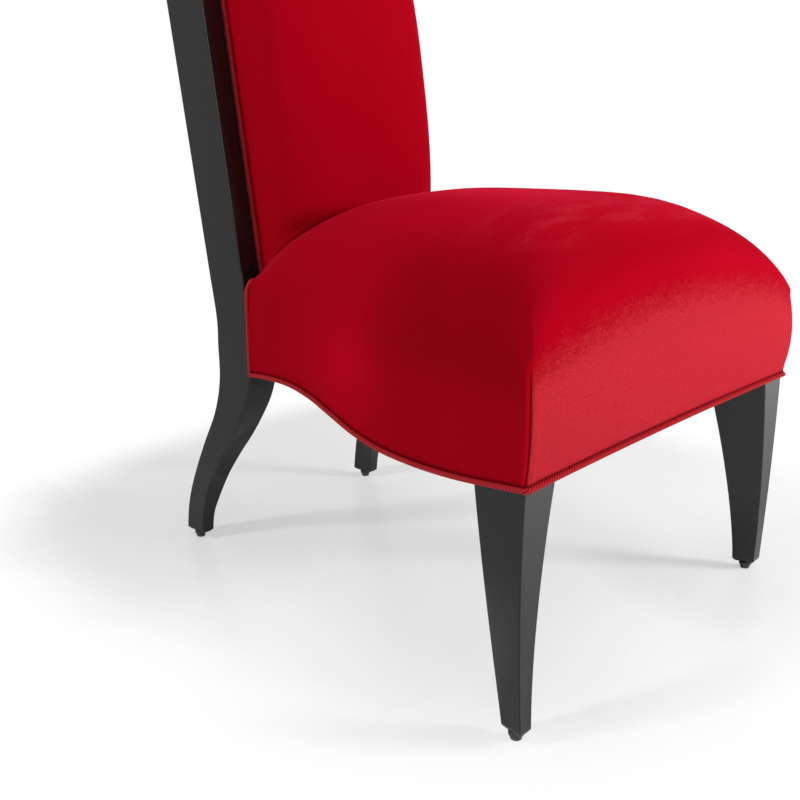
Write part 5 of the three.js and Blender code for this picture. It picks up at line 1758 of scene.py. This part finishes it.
@dataclass
class Underside:
    """The black cloth under the seat, which sags a little between the rails, and its staples."""

    paints: Paintbox
    thickness: float = 0.9
    sag: float = 4.0
    rows: int = 110
    columns: int = 90
    margin: float = 1.7

    def line(self, y: Array) -> Array:
        """The cloth's low face along the rails."""
        return LINES.side_apron(y) + 0.35

    def cloth(self) -> Shape:
        """The cloth: a grid that follows the rails' low line and sags between them."""
        low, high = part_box("dust_cover")
        front, rear = low.y / MM - SHIFT_Y, high.y / MM - SHIFT_Y
        y = np.tile(np.linspace(front, rear, self.rows)[:, None], (1, self.columns))
        u = np.tile(np.linspace(-1.0, 1.0, self.columns), (self.rows, 1))
        half = LINES.rail_x(y) - self.margin
        inwards = np.maximum(1.0 - np.abs(u), 0.0) * half
        rim = np.minimum(inwards, np.minimum(y - front, rear - y))
        drop = self.sag * eased((rim - 26.0) / 150.0) + 0.5 * np.sin(0.09 * y) * np.sin(0.07 * u * half)
        z = self.line(y) - drop * (rim > 26.0)
        under = np.stack([u * half, y, z], axis=2).reshape(-1, 3)
        over = under + [0.0, 0.0, self.thickness]
        count = len(under)
        index = np.arange(count).reshape(self.rows, self.columns)
        loop = np.concatenate([index[:, 0], index[-1, 1:], index[-2::-1, -1], index[0, -2:0:-1]])
        side = np.stack([loop, np.roll(loop, -1), np.roll(loop, -1) + count, loop + count], axis=1)
        quads = grid_quads(self.rows, self.columns, False)
        return Shape(np.concatenate([under, over]), [quads, quads[:, ::-1] + count, side])

    def staples(self) -> Shape:
        """Staples along the rails: flat bars of 10 by 1.1 by 0.6, just under the cloth."""
        shapes = []
        places = [(side, y) for side in (-1, 1) for y in np.arange(-400.0, -20.0, 34.0)]
        for side, y in places:
            x = side * (float(LINES.rail_x(np.array(y))) - 12.0)
            z = float(self.line(np.array(y)))
            corners = block(np.array([x - 0.55, y - 5.0, z - 0.6]), np.array([x + 0.55, y + 5.0, z + 0.1]))
            tilt = float(self.line(np.array(y + 5.0)) - self.line(np.array(y - 5.0))) / 10.0
            corners[:, 2] += (corners[:, 1] - y) * tilt
            shapes.append(Shape(corners, [BLOCK_FACES]))
        for x in np.arange(-205.0, 206.0, 34.0):
            y = -LINES.seat_depth + 12.0
            z = float(self.line(np.array(y)))
            low = np.array([x - 5.0, y - 0.55, z - 0.6])
            shapes.append(Shape(block(low, low + [10.0, 1.1, 0.7]), [BLOCK_FACES]))
        return joined(shapes)

    def build(self, legs: list[Shape]) -> None:
        """Makes the cloth, notched round the legs, and its staples.

        Args:
            legs: The shapes of the posts and legs that the cloth is cut round.
        """
        piece = carved(self.cloth().build("under_cloth"), legs)
        self.paints.dress(piece, Finish.DUSTCLOTH, "dust_cover")
        self.paints.dress(self.staples().build("under_cloth_staples"), Finish.STEEL)


@dataclass
class Webbing:
    """The jute straps, woven over and under one another."""

    paints: Paintbox

    def strap(self, node: str) -> Shape:
        """A packed strap made again on a finer grid, its edges thinner."""
        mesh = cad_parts[node].data
        flat = np.empty(len(mesh.vertices) * 3, np.float32)
        mesh.vertices.foreach_get("co", flat)
        points = flat.reshape(-1, 3).astype(float) / MM - [0.0, SHIFT_Y, 0.0]
        long_way = 1 if node.startswith("long") else 0
        stations = np.unique(np.round(points[:, long_way], 2))
        rows = [points[np.abs(points[:, long_way] - place) < 0.02] for place in stations]
        middle = np.array([row.mean(0) for row in rows])
        run = np.linspace(stations[0], stations[-1], 140)
        centre = np.stack([np.interp(run, stations, middle[:, k]) for k in range(3)], axis=1)
        centre[:, long_way] = run
        across = np.linspace(-25.0, 25.0, 26)
        wide = np.zeros(3)
        wide[1 - long_way] = 1.0
        grid = centre[:, None] + across[None, :, None] * wide
        thick = 0.75 * (1.0 - 0.5 * bell(np.abs(across) - 25.0, 1.2))
        top, low = grid.copy(), grid.copy()
        top[..., 2] += thick
        low[..., 2] -= thick
        rows_count, columns = grid.shape[:2]
        count = rows_count * columns
        index = np.arange(count).reshape(rows_count, columns)
        loop = np.concatenate([index[:, 0], index[-1, 1:], index[-2::-1, -1], index[0, -2:0:-1]])
        side = np.stack([loop, np.roll(loop, -1), np.roll(loop, -1) + count, loop + count], axis=1)
        quads = grid_quads(rows_count, columns, False)
        both = np.concatenate([low.reshape(-1, 3), top.reshape(-1, 3)])
        return Shape(both, [quads, quads[:, ::-1] + count, side])

    def build(self) -> None:
        """Makes the eight straps."""
        for way in ("long", "cross"):
            for number in range(1, 5):
                node = f"{way}_web_{number}"
                piece = self.strap(node).build(f"{way}_strap_{number}")
                self.paints.dress(piece, Finish.WEBBING, node)


@dataclass
class InnerFrame:
    """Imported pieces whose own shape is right: rails, blocks, dowels, screws and boards."""

    paints: Paintbox

    def build(self) -> None:
        """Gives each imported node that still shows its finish."""
        kinds = (
            (Finish.STEEL, ("screw",)),
            (Finish.HARDWOOD, ("dowel", "corner_block", "seat_rail", "lower_back_rail")),
            # Painted shade: the back panel and side rails go near-black where they show in gaps.
            (Finish.NEAR_BLACK_SHADE, ("back_panel", "side_rail")),
            (Finish.PLYWOOD, ("outside_back_board",)),
            (Finish.HESSIAN, ("deck_cloth",)),
        )
        for node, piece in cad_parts.items():
            if piece.hide_render:
                continue
            finish = next((finish for finish, keys in kinds if any(key in node for key in keys)), Finish.HARDWOOD)
            self.paints.repaint(node, finish)


# ---------------------------------------------------------------- the studio


@dataclass
class Studio:
    """A pale floor that fades to white, soft lights, and the camera."""

    eye: tuple[float, float, float] = (-0.9539, -0.7998, 0.5817)
    heading_deg: float = 47.58
    tilt_deg: float = 16.0
    lens: float = 45.0
    ambient: float = 0.145
    mirrored: float = 0.54
    lift: float = 0.46
    fade_from: float = 0.79
    fade_to: float = 1.07

    def camera(self) -> None:
        """Places the camera: a 45 mm lens on a 36 mm frame, 16 degrees down."""
        data = bpy.data.cameras.new("camera")
        data.lens = self.lens
        data.sensor_width = 36.0
        data.clip_end = 60.0
        eye = bpy.data.objects.new("camera", data)
        eye.location = self.eye
        eye.rotation_euler = (math.radians(90.0 - self.tilt_deg), 0.0, -math.radians(self.heading_deg))
        bpy.context.scene.collection.objects.link(eye)
        bpy.context.scene.camera = eye

    def softbox(self, name: str, place: tuple[float, float, float], aim: tuple[float, float, float], size: float, power: float, mirrored: bool = True) -> None:
        """A square lamp that looks at a point, and that may stay out of glossy reflections."""
        data = bpy.data.lights.new(name, "AREA")
        data.size = size
        data.energy = power
        lamp = bpy.data.objects.new(name, data)
        lamp.visible_glossy = mirrored
        lamp.location = place
        direction = np.array(aim) - np.array(place)
        direction = direction / np.linalg.norm(direction)
        turn = math.atan2(direction[1], direction[0]) - math.pi / 2
        lamp.rotation_euler = (math.acos(-direction[2]), 0.0, turn)
        bpy.context.scene.collection.objects.link(lamp)

    def lights(self) -> None:
        """A key from the front left of the sitter, a low lamp behind the right side, and one above."""
        self.softbox("key", (1.55, -2.35, 1.10), (0.0, -0.1, 0.35), 0.65, 70.0, False)
        self.softbox("side", (-2.60, 0.98, 1.95), (0.0, 0.1, 0.2), 0.32, 43.0)
        self.softbox("above", (0.2, -0.6, 2.7), (0.0, -0.2, 0.3), 2.0, 32.0)
        self.softbox("fill", (-2.4, -2.3, 1.9), (0.0, 0.0, 0.4), 2.0, 25.0)

    def world(self) -> None:
        """White behind the object and in its reflections, a soft grey for its light."""
        world = bpy.data.worlds.new("studio")
        bpy.context.scene.world = world
        world.use_nodes = True
        tree = world.node_tree
        tree.nodes.clear()
        output = tree.nodes.new("ShaderNodeOutputWorld")
        mixer = tree.nodes.new("ShaderNodeMixShader")
        soft, seen = (tree.nodes.new("ShaderNodeBackground") for _ in range(2))
        soft.inputs["Color"].default_value = (1.0, 1.0, 1.0, 1.0)
        soft.inputs["Strength"].default_value = self.ambient
        seen.inputs["Strength"].default_value = 1.0
        path = tree.nodes.new("ShaderNodeLightPath")
        either, any_of = (tree.nodes.new("ShaderNodeMath") for _ in range(2))
        either.operation = any_of.operation = "MAXIMUM"
        tree.links.new(path.outputs["Is Camera Ray"], either.inputs[0])
        tree.links.new(path.outputs["Is Glossy Ray"], either.inputs[1])
        tree.links.new(either.outputs[0], any_of.inputs[0])
        tree.links.new(path.outputs["Is Transmission Ray"], any_of.inputs[1])
        tree.links.new(any_of.outputs[0], mixer.inputs[0])
        tree.links.new(soft.outputs[0], mixer.inputs[1])
        tree.links.new(seen.outputs[0], mixer.inputs[2])
        tree.links.new(mixer.outputs[0], output.inputs[0])
        coordinate = tree.nodes.new("ShaderNodeTexCoord")
        dot = tree.nodes.new("ShaderNodeVectorMath")
        dot.operation = "DOT_PRODUCT"
        dot.inputs[1].default_value = (0.62, -0.74, 0.26)
        tree.links.new(coordinate.outputs["Generated"], dot.inputs[0])
        fall = tree.nodes.new("ShaderNodeMapRange")
        for socket, number in zip(list(fall.inputs)[1:5], (0.45, 0.9, 0.0, 1.0)):
            socket.default_value = number
        tree.links.new(dot.outputs["Value"], fall.inputs[0])
        dim = tree.nodes.new("ShaderNodeMath")
        dim.operation = "MULTIPLY"
        tree.links.new(fall.outputs[0], dim.inputs[0])
        tree.links.new(path.outputs["Is Glossy Ray"], dim.inputs[1])
        shade = tree.nodes.new("ShaderNodeMix")
        shade.data_type = "RGBA"
        shade.inputs[6].default_value = (self.mirrored, self.mirrored, self.mirrored, 1.0)
        shade.inputs[7].default_value = (0.16, 0.165, 0.16, 1.0)
        tree.links.new(dim.outputs[0], shade.inputs[0])
        backdrop = tree.nodes.new("ShaderNodeMix")
        backdrop.data_type = "RGBA"
        backdrop.inputs[7].default_value = (1.0, 1.0, 1.0, 1.0)
        tree.links.new(path.outputs["Is Camera Ray"], backdrop.inputs[0])
        tree.links.new(shade.outputs[2], backdrop.inputs[6])
        tree.links.new(backdrop.outputs[2], seen.inputs["Color"])

    def floor(self) -> None:
        """A wide floor: pale and faintly glossy round the chair, white further out, with painted light under the
        chair and a painted glare in its reflections.
        """
        edge = 9.0
        mesh = bpy.data.meshes.new("floor")
        mesh.from_pydata([(-edge, -edge, 0), (edge, -edge, 0), (edge, edge, 0), (-edge, edge, 0)], [], [(0, 1, 2, 3)])
        piece = bpy.data.objects.new("floor", mesh)
        bpy.context.scene.collection.objects.link(piece)
        tree = Tree("pale_floor")
        worn = tree.noise(3.0, 5.0, 0.6, 0.8)
        streak = tree.noise(1.0, 7.0, 0.7, 0.6, tree.mapping((5.0, 60.0, 1.0), (0.0, 0.0, 0.9)))
        split = tree.nodes.new("ShaderNodeSeparateXYZ")
        tree.feed(split.inputs[0], tree.place)
        # Paler in a band where the chair stands: painted light that lifts the floor in the seat's shade.
        under = tree.math("MULTIPLY", tree.spread(split.outputs["Y"], -0.46, -0.22), tree.spread(split.outputs["Y"], 0.22, 0.02))
        under = tree.math("ADD", under, tree.spread(worn, 0.3, 0.7, -0.2, 0.2))
        base = tree.blend(under, (0.77, 0.77, 0.77), (0.95, 0.95, 0.95))
        base = tree.blend(tree.spread(streak, 0.60, 0.78, 0.0, 0.5), base, (0.96, 0.96, 0.96))
        rough = tree.spread(worn, 0.3, 0.7, 0.18, 0.30)
        tree.set(Base_Color=base, Roughness=rough, Specular_IOR_Level=0.5)
        tree.set(Normal=tree.bump(streak, 0.0004, 0.15))
        dx = tree.math("ABSOLUTE", tree.math("DIVIDE", tree.math("SUBTRACT", split.outputs["X"], 0.15), 0.58))
        dy = tree.math("ABSOLUTE", tree.math("DIVIDE", tree.math("SUBTRACT", split.outputs["Y"], 0.13), 0.60))
        away = tree.math("ADD", tree.math("POWER", dx, 3.0), tree.math("POWER", dy, 3.0))
        away = tree.math("POWER", away, 1.0 / 3.0)
        away = tree.math("ADD", away, tree.spread(worn, 0.3, 0.7, -0.03, 0.03))
        far = tree.spread(away, self.fade_from, self.fade_to)
        far = tree.math("MULTIPLY", tree.math("MULTIPLY", far, far), tree.math("SUBTRACT", 3.0, tree.math("MULTIPLY", far, 2.0)))
        lifted = tree.math("ADD", self.lift, tree.math("MULTIPLY", far, 1.0 - self.lift))
        path = tree.nodes.new("ShaderNodeLightPath")
        seen = tree.math("MAXIMUM", path.outputs["Is Camera Ray"], path.outputs["Is Transmission Ray"])
        mirrored = tree.math("MULTIPLY", path.outputs["Is Glossy Ray"], far)
        white = tree.nodes.new("ShaderNodeEmission")
        # In reflections the floor's white glows at 0.54 behind the chair and up to 1.35 in front of it: a painted
        # glare for the lacquer to mirror.
        ahead = tree.spread(split.outputs["Y"], -0.35, -0.75, self.mirrored, 1.35)
        glossy = path.outputs["Is Glossy Ray"]
        level = tree.math("ADD", 1.0, tree.math("MULTIPLY", glossy, tree.math("SUBTRACT", ahead, 1.0)))
        tree.feed(white.inputs["Strength"], level)
        mixer = tree.nodes.new("ShaderNodeMixShader")
        share = tree.math("MAXIMUM", tree.math("MULTIPLY", lifted, seen), mirrored)
        tree.feed(mixer.inputs[0], share)
        tree.feed(mixer.inputs[1], tree.shader.outputs[0])
        tree.feed(mixer.inputs[2], white.outputs[0])
        below = tree.nodes.new("ShaderNodeNewGeometry").outputs["Backfacing"]
        clear = tree.nodes.new("ShaderNodeBsdfTransparent")
        floor_or_clear = tree.nodes.new("ShaderNodeMixShader")
        tree.feed(floor_or_clear.inputs[0], below)
        tree.feed(floor_or_clear.inputs[1], mixer.outputs[0])
        tree.feed(floor_or_clear.inputs[2], clear.outputs[0])
        tree.feed(tree.output.inputs[0], floor_or_clear.outputs[0])
        mesh.materials.append(tree.material)

    def build(self) -> None:
        """Makes the camera, the world, the lights and the floor."""
        bpy.context.scene.view_settings.view_transform = "Standard"
        self.camera()
        self.world()
        self.lights()
        self.floor()


def main() -> None:
    """Builds the chair's sub-assemblies in order, and the studio round them."""
    logging.basicConfig(level=logging.INFO, format="%(name)s: %(message)s")
    Studio().build()
    paints = Paintbox()
    LacqueredFrame(paints).build()
    Glides(paints).build()
    SeatUpholstery(paints).build()
    SeatPiping(paints).build()
    BackPad(paints).build()
    BackPiping(paints).build()
    OutsideBack(paints).build()
    post, leg = BackPost().shape(), FrontLeg().shape()
    Underside(paints).build([post, post.mirrored(), leg, leg.mirrored()])
    Webbing(paints).build()
    InnerFrame(paints).build()


if __name__ == "__main__":
    main()
